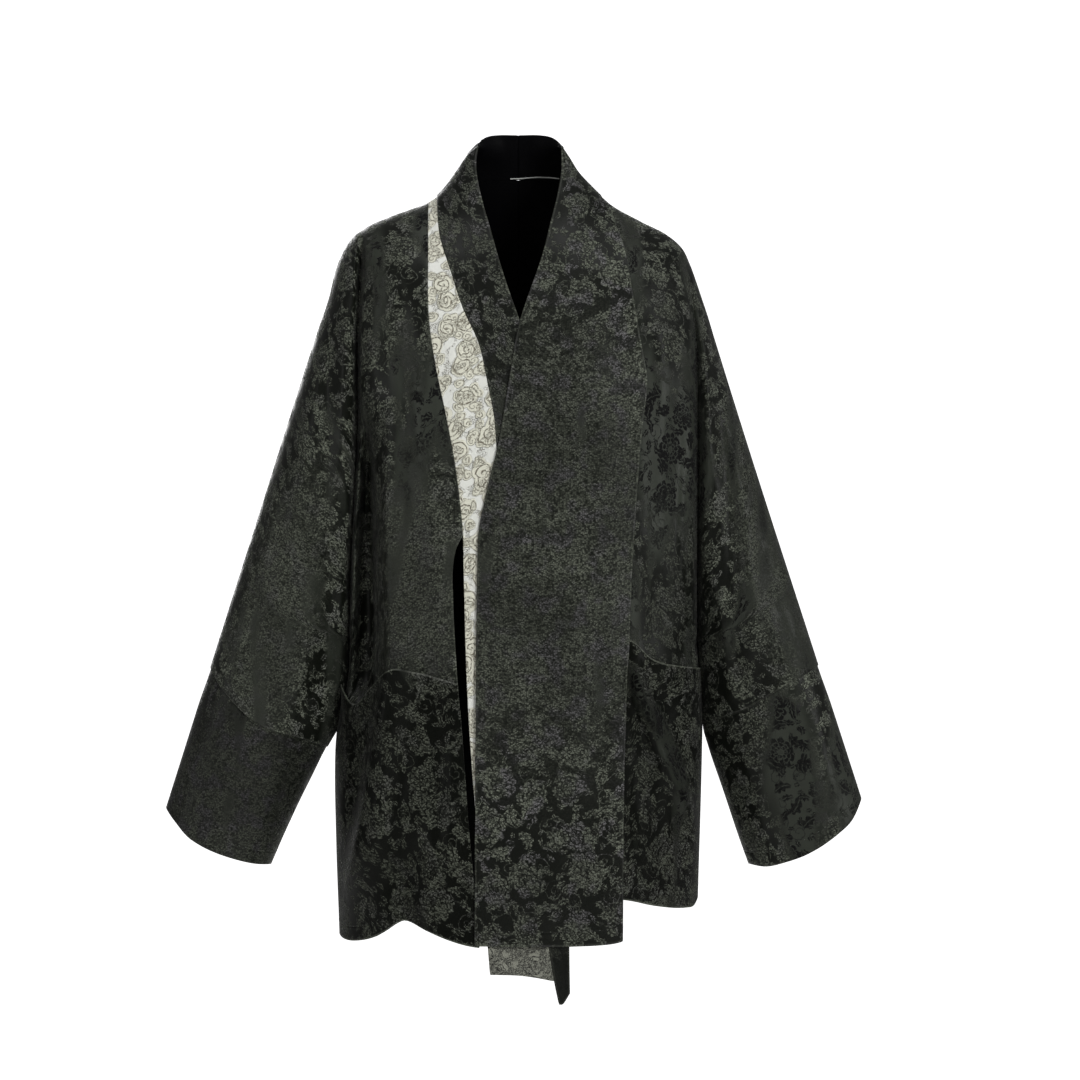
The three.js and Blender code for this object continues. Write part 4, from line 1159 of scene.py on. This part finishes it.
def clothPlace(tree, shift):  # where a point lies on the flat cloth, in millimetres
    uv = add(tree, "UVMap", uv_map="cloth")
    place = add(tree, "VectorMath SCALE", uv, named={"Scale": 1 / mm})
    return add(tree, "VectorMath ADD", place, (*shift, 0))


def noise(tree, place, size, detail=1.0):  # about 0.5, in lumps of a size in millimetres
    cells = add(tree, "VectorMath DIVIDE", place, size)
    return add(
        tree, "TexNoise", named={"Vector": cells, "Scale": 1.0, "Detail": detail}, noise_dimensions="2D")


def within(tree, value, full, none):  # 1 up to one value, running out to 0 at another
    return add(tree, "MapRange", value, full, none, 1.0, 0.0, interpolation_type="SMOOTHSTEP")


def motifs(tree, place, apart, random, shift):  # places from the nearest motif's middle, and its dice
    cells = add(tree, "VectorMath MULTIPLY_ADD", place, (1 / apart,) * 3, (shift, shift * 0.37, 0))
    found = add(
        tree, "TexVoronoi", named={"Vector": cells, "Scale": 1.0, "Randomness": random},
        voronoi_dimensions="2D").node.outputs
    local = add(tree, "VectorMath SUBTRACT", cells, found["Position"])
    local = add(tree, "VectorMath SCALE", local, named={"Scale": apart})
    return local, add(tree, "SeparateColor", found["Color"]).node.outputs


def polar(tree, local, turn):  # distance and angle round a motif's middle
    radius = add(tree, "VectorMath LENGTH", local)
    parts = add(tree, "SeparateXYZ", local).node.outputs
    angle = add(tree, "Math ARCTAN2", parts[1], parts[0])
    return radius, add(tree, "Math MULTIPLY_ADD", turn, math.tau, angle)


def lobes(tree, angle, petals):  # from 0 between the petals to 1 in their middles
    turned = add(tree, "Math COSINE", add(tree, "Math MULTIPLY", angle, petals / 2))
    return add(tree, "Math ABSOLUTE", turned)


def scalloped(tree, radius, angle, size, petals, dent):  # how far outside a ring of petals a point is
    lobe = add(tree, "Math POWER", lobes(tree, angle, petals), 0.6)
    reach = add(tree, "Math MULTIPLY_ADD", lobe, size * dent, size * (1 - dent))
    return add(tree, "Math SUBTRACT", radius, reach)


def flowers(tree, place):  # round heads of lobed petals, with lines between them
    local, dice = motifs(tree, place, damask["flower"], random=0.6, shift=3.1)
    radius, angle = polar(tree, local, dice[0])
    least, more = damask["sizes"]
    radius = add(tree, "Math DIVIDE", radius, add(tree, "Math MULTIPLY_ADD", dice[1], more, least))
    head = within(tree, scalloped(tree, radius, angle, *damask["head"]), -0.5, 0.6)
    for ring in damask["rings"]:
        off = add(tree, "Math ABSOLUTE", scalloped(tree, radius, angle, *ring))
        head = add(tree, "Math SUBTRACT", head, within(tree, off, 0.3, 1.1))
    between = add(tree, "Math MULTIPLY", lobes(tree, angle, damask["head"][1]), radius)
    between = within(tree, between, 1.2, 4.2)
    head = add(tree, "Math MULTIPLY_ADD", between, -0.8, head)
    isThere = add(tree, "Math LESS_THAN", dice[2], damask["flowerShare"])
    return add(tree, "Math MULTIPLY", head, isThere, use_clamp=True)


def leaves(tree, place, apart, shift):  # lobed, with a line down the middle
    local, dice = motifs(tree, place, apart, random=0.85, shift=shift)
    turned = add(
        tree, "VectorRotate", local, named={"Angle": add(tree, "Math MULTIPLY", dice[0], math.tau)},
        rotation_type="Z_AXIS")
    parts = add(tree, "SeparateXYZ", turned).node.outputs
    share = add(tree, "Math POWER", add(tree, "Math MULTIPLY", parts[0], 2.4 / apart), 2.0)
    notches = add(tree, "Math SINE", add(tree, "Math MULTIPLY", parts[0], 26 / apart))
    width = add(tree, "Math MULTIPLY_ADD", notches, apart * 0.05, apart * 0.17)
    width = add(tree, "Math MULTIPLY", width, add(tree, "Math SUBTRACT", 1.0, share))
    off = add(tree, "Math ABSOLUTE", add(tree, "Math MULTIPLY_ADD", share, apart * 0.14, parts[1]))
    leaf = within(tree, add(tree, "Math SUBTRACT", off, width), -0.4, 0.5)
    leaf = add(tree, "Math SUBTRACT", leaf, within(tree, off, 0.2, 0.9))
    isThere = add(tree, "Math LESS_THAN", dice[2], damask["leafShare"])
    return add(tree, "Math MULTIPLY", leaf, isThere, use_clamp=True)


def curls(tree, place, apart, turn, thick, reach, shift):  # thin spiral lines, and how far they reach
    local, dice = motifs(tree, place, apart, random=0.9, shift=shift)
    radius, angle = polar(tree, local, dice[0])
    turns = add(tree, "Math MULTIPLY_ADD", angle, 1 / math.tau, add(tree, "Math DIVIDE", radius, turn))
    off = add(tree, "Math MULTIPLY", add(tree, "Math PINGPONG", turns, 0.5), turn)
    inside = within(tree, radius, apart * reach * 0.85, apart * reach)
    return add(tree, "Math MULTIPLY", within(tree, off, thick * 0.4, thick), inside), inside


def drifted(tree, place, size, reach):  # places moved about, so that what is drawn there wanders
    drift = noise(tree, place, (size,) * 3).node.outputs["Color"]
    drift = add(tree, "VectorMath SUBTRACT", drift, (0.5,) * 3)
    return add(tree, "VectorMath MULTIPLY_ADD", drift, (reach, reach, 0), place)


def figureOf(tree, place):  # all the motifs of the damask
    for size, reach in damask["drifts"]:
        place = drifted(tree, place, size, reach)
    figure = flowers(tree, place)
    scrolls = curls(tree, place, damask["scroll"], turn=6.4, thick=0.8, reach=0.34, shift=7.7)[0]
    for extra in (
        leaves(tree, place, damask["leaf"], shift=1.3),
        leaves(tree, place, damask["leaflet"], shift=5.9),
        leaves(tree, place, damask["bud"], shift=9.4),
        add(tree, "Math MULTIPLY", scrolls, damask["scrollLevel"]),
    ):
        figure = add(tree, "Math MAXIMUM", figure, extra)
    return figure


def near(tree, attribute, full, none):  # 1 beside a seam or a hem, by how far it is in millimetres
    away = add(tree, "Attribute", attribute_name=attribute).node.outputs["Fac"]
    return within(tree, add(tree, "Math DIVIDE", away, mm), full, none)


def sewnRelief(tree, place, height):  # puckers beside the seams, and the line of a turned-up hem
    ripple = noise(tree, place, (puckers["long"],) * 3)
    ripple = add(tree, "Math MULTIPLY", ripple, near(tree, "fromSeam", 0.0, puckers["reach"]))
    height = add(tree, "Math MULTIPLY_ADD", ripple, puckers["height"], height)
    up = hemFold["up"]
    above, below = near(tree, "fromHem", up, up + 1.4), near(tree, "fromHem", up - 1.4, up)
    line = add(tree, "Math SUBTRACT", above, below)
    height = add(tree, "Math MULTIPLY_ADD", line, -hemFold["groove"], height)
    return add(tree, "Math MULTIPLY_ADD", near(tree, "fromHem", up, up + 1.0), 0.15, height)


def finished(tree, shader, colour, roughness, height):
    tree.links.new(colour, shader.inputs["Base Color"])
    tree.links.new(roughness, shader.inputs["Roughness"])
    bump = add(tree, "Bump", named={"Strength": 1.0, "Distance": mm, "Height": height})
    tree.links.new(bump, shader.inputs["Normal"])


def spots(tree, rows):  # soft ovals: their middles across and up, their reaches, how much, and degrees
    place = add(tree, "TexCoord").node.outputs["Object"]
    place = add(tree, "VectorMath SCALE", place, named={"Scale": 1 / mm})
    total = 0.0
    for x, z, wide, tall, amount, turn in rows:
        off = add(tree, "VectorMath SUBTRACT", place, (x, 0, z))
        off = add(tree, "VectorRotate", off, named={"Angle": math.radians(turn)}, rotation_type="Y_AXIS")
        off = add(tree, "VectorMath MULTIPLY", off, (1 / wide, 0, 1 / tall))
        spot = within(tree, add(tree, "VectorMath LENGTH", off), 0.35, 1.0)
        total = add(tree, "Math MAXIMUM", total, add(tree, "Math MULTIPLY", spot, amount))
    return total


def silkDamask(
    name, shift, toneAndPaintedShade=1.0, calm=(), paintedSheenSpots=(), bare=(), shot=0.35, paintedSheenLevels=(0.55, 0.7), wearAndPaintedEdgeHighlight=0.3,
    specular=0.22,
):
    # A satin ground with a figure of duller floats. In the spots of calm the figure sinks into the
    # ground, and in bare ones there is none. A painted sheen: between two given values a slow noise
    # paints the ground bright and the figure dark, as satin looks where it catches the light, and
    # further spots add to that noise. The factor after the shift darkens the whole piece as painted
    # shade. At its seams and hems the cloth is paler by a given amount, partly as wear and partly as
    # a painted highlight on the edges.
    material, tree, shader = started(name)
    place = clothPlace(tree, shift)
    lumps = damask["lumps"]
    figure = figureOf(tree, place)
    grains = add(
        tree, "TexVoronoi", named={
            "Vector": add(tree, "VectorMath DIVIDE", place, (*damask["grain"], 1)), "Scale": 1.0},
        voronoi_dimensions="2D").node.outputs
    dice = add(tree, "SeparateColor", grains["Color"]).node.outputs[0]
    floats = add(tree, "MapRange", dice, 0.0, 1.0, *damask["floats"])
    crowned = add(tree, "MapRange", grains["Distance"], *damask["crown"])
    floats = add(tree, "Math MULTIPLY", floats, crowned)
    worn = add(tree, "MapRange", noise(tree, place, lumps["worn"], detail=2.0), *damask["worn"])
    sunk = spots(tree, calm)
    level = add(tree, "Math MULTIPLY_ADD", sunk, damask["sunk"], add(
        tree, "Math MULTIPLY", figure, add(tree, "Math SUBTRACT", 1.0, sunk)))
    level = add(tree, "Math MULTIPLY", level, add(tree, "Math SUBTRACT", 1.0, spots(tree, bare)))
    # painted sheen: a slow noise and spots paint the ground bright and the figure dark
    paintedSheen = add(tree, "Math ADD", noise(tree, place, lumps["paintedSheen"], detail=2.0), spots(tree, paintedSheenSpots))
    paintedSheen = add(tree, "MapRange", paintedSheen, *paintedSheenLevels)
    hidden = add(tree, "Math MULTIPLY", paintedSheen, damask["paintedSheenHides"])
    seen = add(tree, "Mix", hidden, floats, damask["plainFloat"])
    strength = add(tree, "Math MULTIPLY", add(tree, "Math MULTIPLY", level, seen), worn)
    # paler at seams and hems: partly wear, partly a painted highlight along the edges
    edge = add(
        tree, "Math MAXIMUM", *(near(tree, each, *damask["edge"]) for each in ("fromSeam", "fromHem")))
    strength = add(tree, "Math MULTIPLY_ADD", edge, wearAndPaintedEdgeHighlight, strength)
    turning = noise(tree, place, lumps["turning"], detail=2.0)
    turning = add(tree, "MapRange", turning, *damask["turning"], 0.0, shot)
    # all colours are darkened by this piece's factor of painted shade
    ground, groundLit, raised, raisedLit, shotFloats = (
        linear(damask[key], toneAndPaintedShade) for key in ("ground", "groundLit", "figure", "figureLit", "shot"))
    ground = add(tree, "Mix", paintedSheen, ground, groundLit, data_type="RGBA")
    raised = add(tree, "Mix", turning, raised, shotFloats, data_type="RGBA")
    raised = add(tree, "Mix", paintedSheen, raised, raisedLit, data_type="RGBA")
    colour = add(tree, "Mix", strength, ground, raised, data_type="RGBA", clamp_factor=False)
    roughness = add(tree, "MapRange", figure, 0.0, 1.0, damask["groundGloss"], damask["figureGloss"])
    threads = noise(tree, place, lumps["threads"])
    height = add(tree, "Math MULTIPLY", add(tree, "Math MULTIPLY", floats, level), damask["relief"])
    height = add(tree, "Math MULTIPLY_ADD", figure, damask["relief"] * damask["figureRelief"], height)
    height = add(tree, "Math MULTIPLY_ADD", threads, damask["threadRelief"], height)
    finished(tree, shader, colour, roughness, sewnRelief(tree, place, height))
    shader.inputs["Specular IOR Level"].default_value = specular
    shader.inputs["Sheen Weight"].default_value = damask["sheen"]
    shader.inputs["Sheen Roughness"].default_value = damask["sheenSpread"]
    return material


def paleJacquard(name):  # raised spiral medallions with smooth satin between them
    material, tree, shader = started(name)
    place = clothPlace(tree, (11, 5))
    place = drifted(tree, place, *jacquard["drift"])
    size, turn = jacquard["medallion"], jacquard["turn"]
    lines, inside = curls(tree, place, size, turn, thick=0.95, reach=0.47, shift=2.2)
    small, smallInside = curls(tree, place, size * 0.55, turn * 0.7, thick=0.8, reach=0.42, shift=6.1)
    lines = add(tree, "Math MAXIMUM", lines, add(tree, "Math MULTIPLY", small, 0.8))
    inside = add(tree, "Math MAXIMUM", inside, smallInside)
    cells = add(tree, "VectorMath DIVIDE", place, jacquard["cracks"])
    cracks = add(
        tree, "TexVoronoi", named={"Vector": cells, "Scale": 1.0}, voronoi_dimensions="2D",
        feature="DISTANCE_TO_EDGE")
    down = add(tree, "SeparateXYZ", add(tree, "UVMap", uv_map="cloth")).node.outputs[1]
    # the hem end, darkened as painted shade; it also has more and wider cracks
    paintedHemShade = within(tree, down, *jacquard["hemEnd"])
    patches = add(tree, "Math ADD", noise(tree, place, (12,) * 3), add(tree, "Math MULTIPLY", paintedHemShade, 0.14))
    patches = add(tree, "MapRange", patches, *jacquard["patches"])
    width, more = jacquard["crackWidth"]
    thick = add(tree, "Math MULTIPLY_ADD", paintedHemShade, more, width)
    cracks = add(tree, "Math MULTIPLY", within(tree, cracks, 0.04, thick), patches)
    lines = add(tree, "Math MAXIMUM", lines, add(tree, "Math MULTIPLY", cracks, 0.85))
    broken = add(tree, "MapRange", noise(tree, place, (2.4,) * 3, detail=2.0), *jacquard["broken"])
    lines = add(tree, "Math MULTIPLY", lines, broken)
    plain, raised, line, low, lowLine = (
        linear(jacquard[key]) for key in ("ground", "raised", "line", "low", "lowLine"))
    ground = add(tree, "Mix", inside, plain, raised, data_type="RGBA")
    ground = add(tree, "Mix", paintedHemShade, ground, low, data_type="RGBA")
    dark = add(tree, "Mix", paintedHemShade, line, lowLine, data_type="RGBA")
    colour = add(tree, "Mix", lines, ground, dark, data_type="RGBA")
    roughness = add(tree, "MapRange", inside, 0.0, 1.0, *jacquard["gloss"])
    soft = noise(tree, place, (5,) * 3, detail=2.0)
    soft = add(tree, "Math MULTIPLY", soft, 0.5)
    height = add(tree, "Math MULTIPLY_ADD", inside, jacquard["relief"], soft)
    height = add(tree, "Math MULTIPLY_ADD", lines, jacquard["relief"] * jacquard["lineRelief"], height)
    finished(tree, shader, colour, roughness, sewnRelief(tree, place, height))
    shader.inputs["Sheen Weight"].default_value = jacquard["sheen"]
    return material


def plainSilk(name, code, gloss, specular=0.4):  # a smooth satin with fine threads
    material, tree, shader = started(name)
    place = clothPlace(tree, (0, 0))
    threads = noise(tree, place, satin["threads"])
    slow = noise(tree, place, satin["slow"], detail=2.0)
    colour = add(
        tree, "Mix", add(tree, "Math MULTIPLY", slow, threads), linear(code),
        linear(code, satin["paler"]), data_type="RGBA")
    roughness = add(tree, "MapRange", slow, 0.3, 0.7, gloss, gloss + satin["duller"])
    height = add(tree, "Math MULTIPLY", threads, satin["relief"])
    finished(tree, shader, colour, roughness, sewnRelief(tree, place, height))
    shader.inputs["Specular IOR Level"].default_value = specular
    return material


# Spots are in rows of x, z, width, height, amount and degrees.
# The number after a shift darkens that piece's whole cloth as painted shade: darker copies of the same
# damask for pieces that lie in shade.
materials = {
    "front right": silkDamask(
        "figured silk damask, right front", (40, 12),
        calm=[(-103, -415, 62, 210, 0.85, 0), (-262, -455, 58, 230, 0.85, -14)],
        paintedSheenSpots=[(-108, -225, 50, 130, 0.24, 0)], paintedSheenLevels=(0.55, 0.76)),
    "front left": silkDamask(
        "figured silk damask, left front", (333, 207), 0.84,
        calm=[(278, -400, 48, 210, 0.9, 14)], bare=[(166, -425, 60, 120, 0.5, 0)],
        paintedSheenSpots=[(168, -300, 52, 210, 0.3, 0), (292, -420, 30, 190, 0.14, 14)], paintedSheenLevels=(0.56, 0.76)),
    "back": silkDamask("figured silk damask, back", (711, 95), calm=[(0, -300, 400, 250, 0.3, 0)]),
    # the pockets' edges are much paler: a painted highlight along their mouths
    "pockets": silkDamask(
        "figured silk damask, pockets", (57, 431), 0.6, paintedSheenSpots=[(156, -581, 15, 105, 0.36, 25)],
        paintedSheenLevels=(0.64, 0.8), wearAndPaintedEdgeHighlight=1.6, specular=0.1),
    "cuff right": silkDamask(
        "figured silk damask, right cuff", (505, 313), 0.6, calm=[(-300, -650, 130, 150, 0.85, 0)],
        shot=0.9, paintedSheenLevels=(0.66, 0.8)),
    "cuff left": silkDamask(
        "figured silk damask, left cuff", (205, 713), 0.85, paintedSheenSpots=[(314, -630, 72, 120, 0.36, 14)],
        paintedSheenLevels=(0.56, 0.8)),
    "band": silkDamask(
        "figured silk damask, left band", (141, 633), 0.92, calm=[(40, -370, 300, 330, 0.78, 0)], shot=0.8,
        paintedSheenLevels=(0.72, 0.9)),
    "collar": silkDamask(
        "figured silk damask, right collar", (877, 17), 0.78, calm=[(-20, -330, 300, 260, 0.4, 0)],
        bare=[(48, -865, 120, 100, 1.0, 0)], shot=0.7, paintedSheenLevels=(0.62, 0.8)),
    "inset": paleJacquard("pale silk jacquard with raised medallions"),
    # near black: partly the lining's own black, partly painted shade on the shaded inside
    "lining": plainSilk("black satin lining with painted shade", "#040405", 0.5, 0.06),
    "piping": plainSilk("grey satin piping", "#8d8f8c", 0.4),
    "thread": plainSilk("dark sewing thread", "#4a4d47", 0.5),
}
# For each node: its cloth, the finish in the record, and the width and length that it was cut to, with
# the area where the cut isn't a rectangle, in metres.
cuts = {
    "front_right": ("front right", "dark_damask", (0.42, 0.86), 0.222),
    "front_left_side": ("front left", "dark_damask", (0.34, 0.80), 0.149),
    "back_right": ("back", "dark_damask", (0.46, 0.90), 0.252),
    "back_left": ("back", "dark_damask", (0.46, 0.88), 0.239),
    "cuff_right": ("cuff right", "cuff_damask", (0.35, 0.20), 0.057),
    "cuff_left": ("cuff left", "cuff_damask", (0.37, 0.21), 0.065),
    "inset_pale": ("inset", "pale_jacquard", (0.076, 0.88), 0.043),
    "collar_right": ("collar", "collar_damask", (0.068, 1.08), 0.049),
    "band_left": ("band", "collar_damask", (0.168, 1.06), 0.131),
    "pocket_right": ("pockets", "dark_damask", (0.23, 0.29), 0.062),
    "pocket_left": ("pockets", "dark_damask", (0.175, 0.29), 0.046),
}
for node, (cloth, slot, flat, area) in cuts.items():
    piece = pieces[node].object
    for each in (cloth, "lining"):
        piece.data.materials.append(materials[each])
    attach(piece, "root")
    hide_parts(node)
print("cloths ready:", len(materials), "materials")

# Stitches and piping, which follow a line.
stitches = {"pitch": 8.5, "length": 2.2, "thickness": 0.5, "up": 15.0, "proud": 0.15}
piping = {"radius": 0.7, "up": 1.0, "rise": 9.0, "inside": 0.9, "right": 3, "left": 17}


def newTree(name, *sizes):  # a tree that takes a line and named sizes
    tree = bpy.data.node_groups.new(name, "GeometryNodeTree")
    tree.interface.new_socket("Line", in_out="INPUT", socket_type="NodeSocketGeometry")
    for each in sizes:
        tree.interface.new_socket(each, in_out="INPUT", socket_type="NodeSocketFloat")
    tree.interface.new_socket("Geometry", in_out="OUTPUT", socket_type="NodeSocketGeometry")
    return tree, tree.nodes.new("NodeGroupInput").outputs


def closeTree(tree, geometry, material):  # makes a tree's outcome real, smooth and coloured
    geometry = add(tree, "GeometryNodeRealizeInstances", geometry)
    geometry = add(tree, "GeometryNodeSetShadeSmooth", geometry)
    geometry = add(tree, "GeometryNodeSetMaterial", geometry, named={"Material": material})
    tree.links.new(geometry, tree.nodes.new("NodeGroupOutput").inputs[0])
    return tree


def stitchTree(material):  # a long bead at each step along the line
    tree, sizes = newTree("hem stitches", "Pitch", "Length", "Thickness")
    line = add(tree, "GeometryNodeMeshToCurve", sizes["Line"])
    line = add(
        tree, "GeometryNodeResampleCurve", line, named={"Length": sizes["Pitch"]}, mode="LENGTH")
    bead = add(tree, "GeometryNodeMeshUVSphere", named={"Segments": 8, "Rings": 6, "Radius": 0.5})
    tangent = add(tree, "GeometryNodeInputTangent")
    towards = add(tree, "FunctionNodeAlignRotationToVector", named={"Vector": tangent}, axis="Z")
    uneven = add(
        tree, "FunctionNodeRandomValue", named={"Min": 0.75, "Max": 1.15, "Seed": 4}, data_type="FLOAT")
    length = add(tree, "Math MULTIPLY", sizes["Length"], uneven)
    scale = add(tree, "CombineXYZ", sizes["Thickness"], sizes["Thickness"], length)
    beads = add(
        tree, "GeometryNodeInstanceOnPoints", named={
            "Points": line, "Instance": bead, "Rotation": towards, "Scale": scale})
    return closeTree(tree, beads, material)


def pipingTree(material):  # a round tube along the line, closed at its ends
    tree, sizes = newTree("piping", "Radius")
    line = add(tree, "GeometryNodeMeshToCurve", sizes["Line"])
    section = {"Resolution": 12, "Radius": sizes["Radius"]}
    section = add(tree, "GeometryNodeCurvePrimitiveCircle", named=section)
    tube = {"Curve": line, "Profile Curve": section, "Fill Caps": True}
    tube = add(tree, "GeometryNodeCurveToMesh", named=tube)
    return closeTree(tree, tube, material)


def alongLines(name, lines, tree, sizes):  # runs a tree over lines of points and keeps its plain mesh
    points = np.concatenate(lines) * mm
    ends = np.cumsum([len(line) for line in lines])
    edges = [(i, i + 1) for i in range(len(points) - 1) if i + 1 not in ends]
    source = bpy.data.meshes.new(name + "_line")
    source.from_pydata(points.tolist(), edges, [])
    maker = placed(name + "_maker", source)
    modifier = maker.modifiers.new(name, "NODES")
    modifier.node_group = tree
    for item in tree.interface.items_tree:
        if item.in_out == "INPUT" and item.name in sizes:
            modifier[item.identifier] = sizes[item.name] * mm
    evaluated = maker.evaluated_get(bpy.context.evaluated_depsgraph_get())
    data = bpy.data.meshes.new_from_object(evaluated)
    maker.modifiers.remove(modifier)
    bpy.data.objects.remove(maker)
    piece = placed(name, data)
    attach(piece, "root")
    return piece


# Each hem's node, and which of its patches have a hem.
hemmed = {
    "pocket_right": [0], "pocket_left": [0], "band_left": [0], "inset_pale": [0], "back_right": [0],
    "back_left": [0], "cuff_right": [0, 1], "cuff_left": [0, 1],
}
hemLines = [
    pieces[node].line(index, "bottom", stitches["up"], stitches["proud"])
    for node, indices in hemmed.items() for index in indices
]
stitchSizes = {name.capitalize(): stitches[name] for name in ("pitch", "length", "thickness")}
hemStitches = alongLines("hem_stitches", hemLines, stitchTree(materials["thread"]), stitchSizes)

# It shows from a little right of the centre back to the middle of the left half, and rises there.
inside = -collarWall - piping["inside"]
rise = piping["up"] + piping["rise"] * np.linspace(0, 1, columns["neck"] + 1)
rightLine = pieces["collar_right"].line(1, "bottom", piping["up"], inside)
leftLine = pieces["band_left"].line(1, "bottom", rise, inside)
neckLine = np.concatenate([rightLine[-1 - piping["right"]:-1], leftLine[:piping["left"]]])
neckPiping = alongLines(
    "neck_piping", [neckLine], pipingTree(materials["piping"]), {"Radius": piping["radius"]})
print("stitches and piping:", sum(len(each.data.polygons) for each in (hemStitches, neckPiping)), "faces")

# The studio: a pale floor, a white backdrop that lights nothing, and lamps.
stage = {
    "floor": -1.4, "floorRadius": 3.2, "backdrop": 9.0, "around": 96, "up": 32, "paper": "#e9e9e6",
    "air": 0.15,
}
lamps = {
    # place, size across and down, power, and whether it lights what is matt and shows in the gloss
    "key": ((1.9, -3.4, 1.2), (1.0, 1.0), 122, True, False),
    "fill": ((-1.2, -3.8, 0.5), (1.6, 1.6), 20, True, False),
    "rightStrip": ((3.0, -1.5, 0.6), (0.9, 1.8), 26, False, True),
    "leftStrip": ((-3.0, -2.0, 0.2), (0.7, 2.2), 12, False, True),
    "top": ((0.1, -0.9, 2.2), (1.8, 1.2), 20, True, True),
    "behind": ((-0.6, 3.2, 0.7), (2.4, 2.0), 95, True, True),
}
aim = (0, 0, -0.42)


def stageMaterial(name, code, glow):
    material, _, shader = started(name)
    shader.inputs["Base Color"].default_value = linear(code)
    shader.inputs["Roughness"].default_value = 0.9
    shader.inputs["Emission Color"].default_value = (1, 1, 1, 1)
    shader.inputs["Emission Strength"].default_value = glow
    return material


def ring(radius, height):
    turns = np.linspace(0, math.tau, stage["around"], endpoint=False)
    return np.stack([radius * np.cos(turns), radius * np.sin(turns), np.full(len(turns), height)], axis=-1)


def stagePiece(name, points, faces, material):
    data = bpy.data.meshes.new(name)
    data.from_pydata(points.tolist(), [], faces)
    data.materials.append(material)
    result = placed(name, data)
    return result


around = stage["around"]
stagePiece(
    "floor", ring(stage["floorRadius"], stage["floor"]), [list(range(around))],
    stageMaterial("pale floor", stage["paper"], 0.0))

angles = np.linspace(-math.pi / 2, math.pi / 2, stage["up"] + 1)
rings = [ring(stage["backdrop"] * math.cos(angle), stage["backdrop"] * math.sin(angle)) for angle in angles]
cells = [
    (start + j, start + (j + 1) % around, start + around + (j + 1) % around, start + around + j)
    for start in range(0, stage["up"] * around, around) for j in range(around)
]
backdrop = stagePiece(
    "backdrop", np.concatenate(rings), cells, stageMaterial("white backdrop", "#ffffff", 1.0))
for ray in ("diffuse", "glossy", "transmission", "shadow"):
    setattr(backdrop, "visible_" + ray, False)

air = bpy.data.worlds.new("air")
air.use_nodes = True
air.node_tree.nodes["Background"].inputs["Color"].default_value = (1.0, 1.0, 0.985, 1.0)
air.node_tree.nodes["Background"].inputs["Strength"].default_value = stage["air"]
bpy.context.scene.world = air
bpy.context.scene.view_settings.view_transform = "Standard"

for name, (place, size, power, lights, shows) in lamps.items():
    data = bpy.data.lights.new(name, "AREA")
    data.shape = "RECTANGLE"
    data.size, data.size_y = size
    data.energy = power
    lamp = placed(name, data)
    lamp.location = place
    lamp.rotation_euler = (Vector(aim) - Vector(place)).to_track_quat("-Z", "Y").to_euler()
    lamp.visible_camera = False
    lamp.visible_diffuse = lights
    lamp.visible_glossy = shows
print("stage ready")
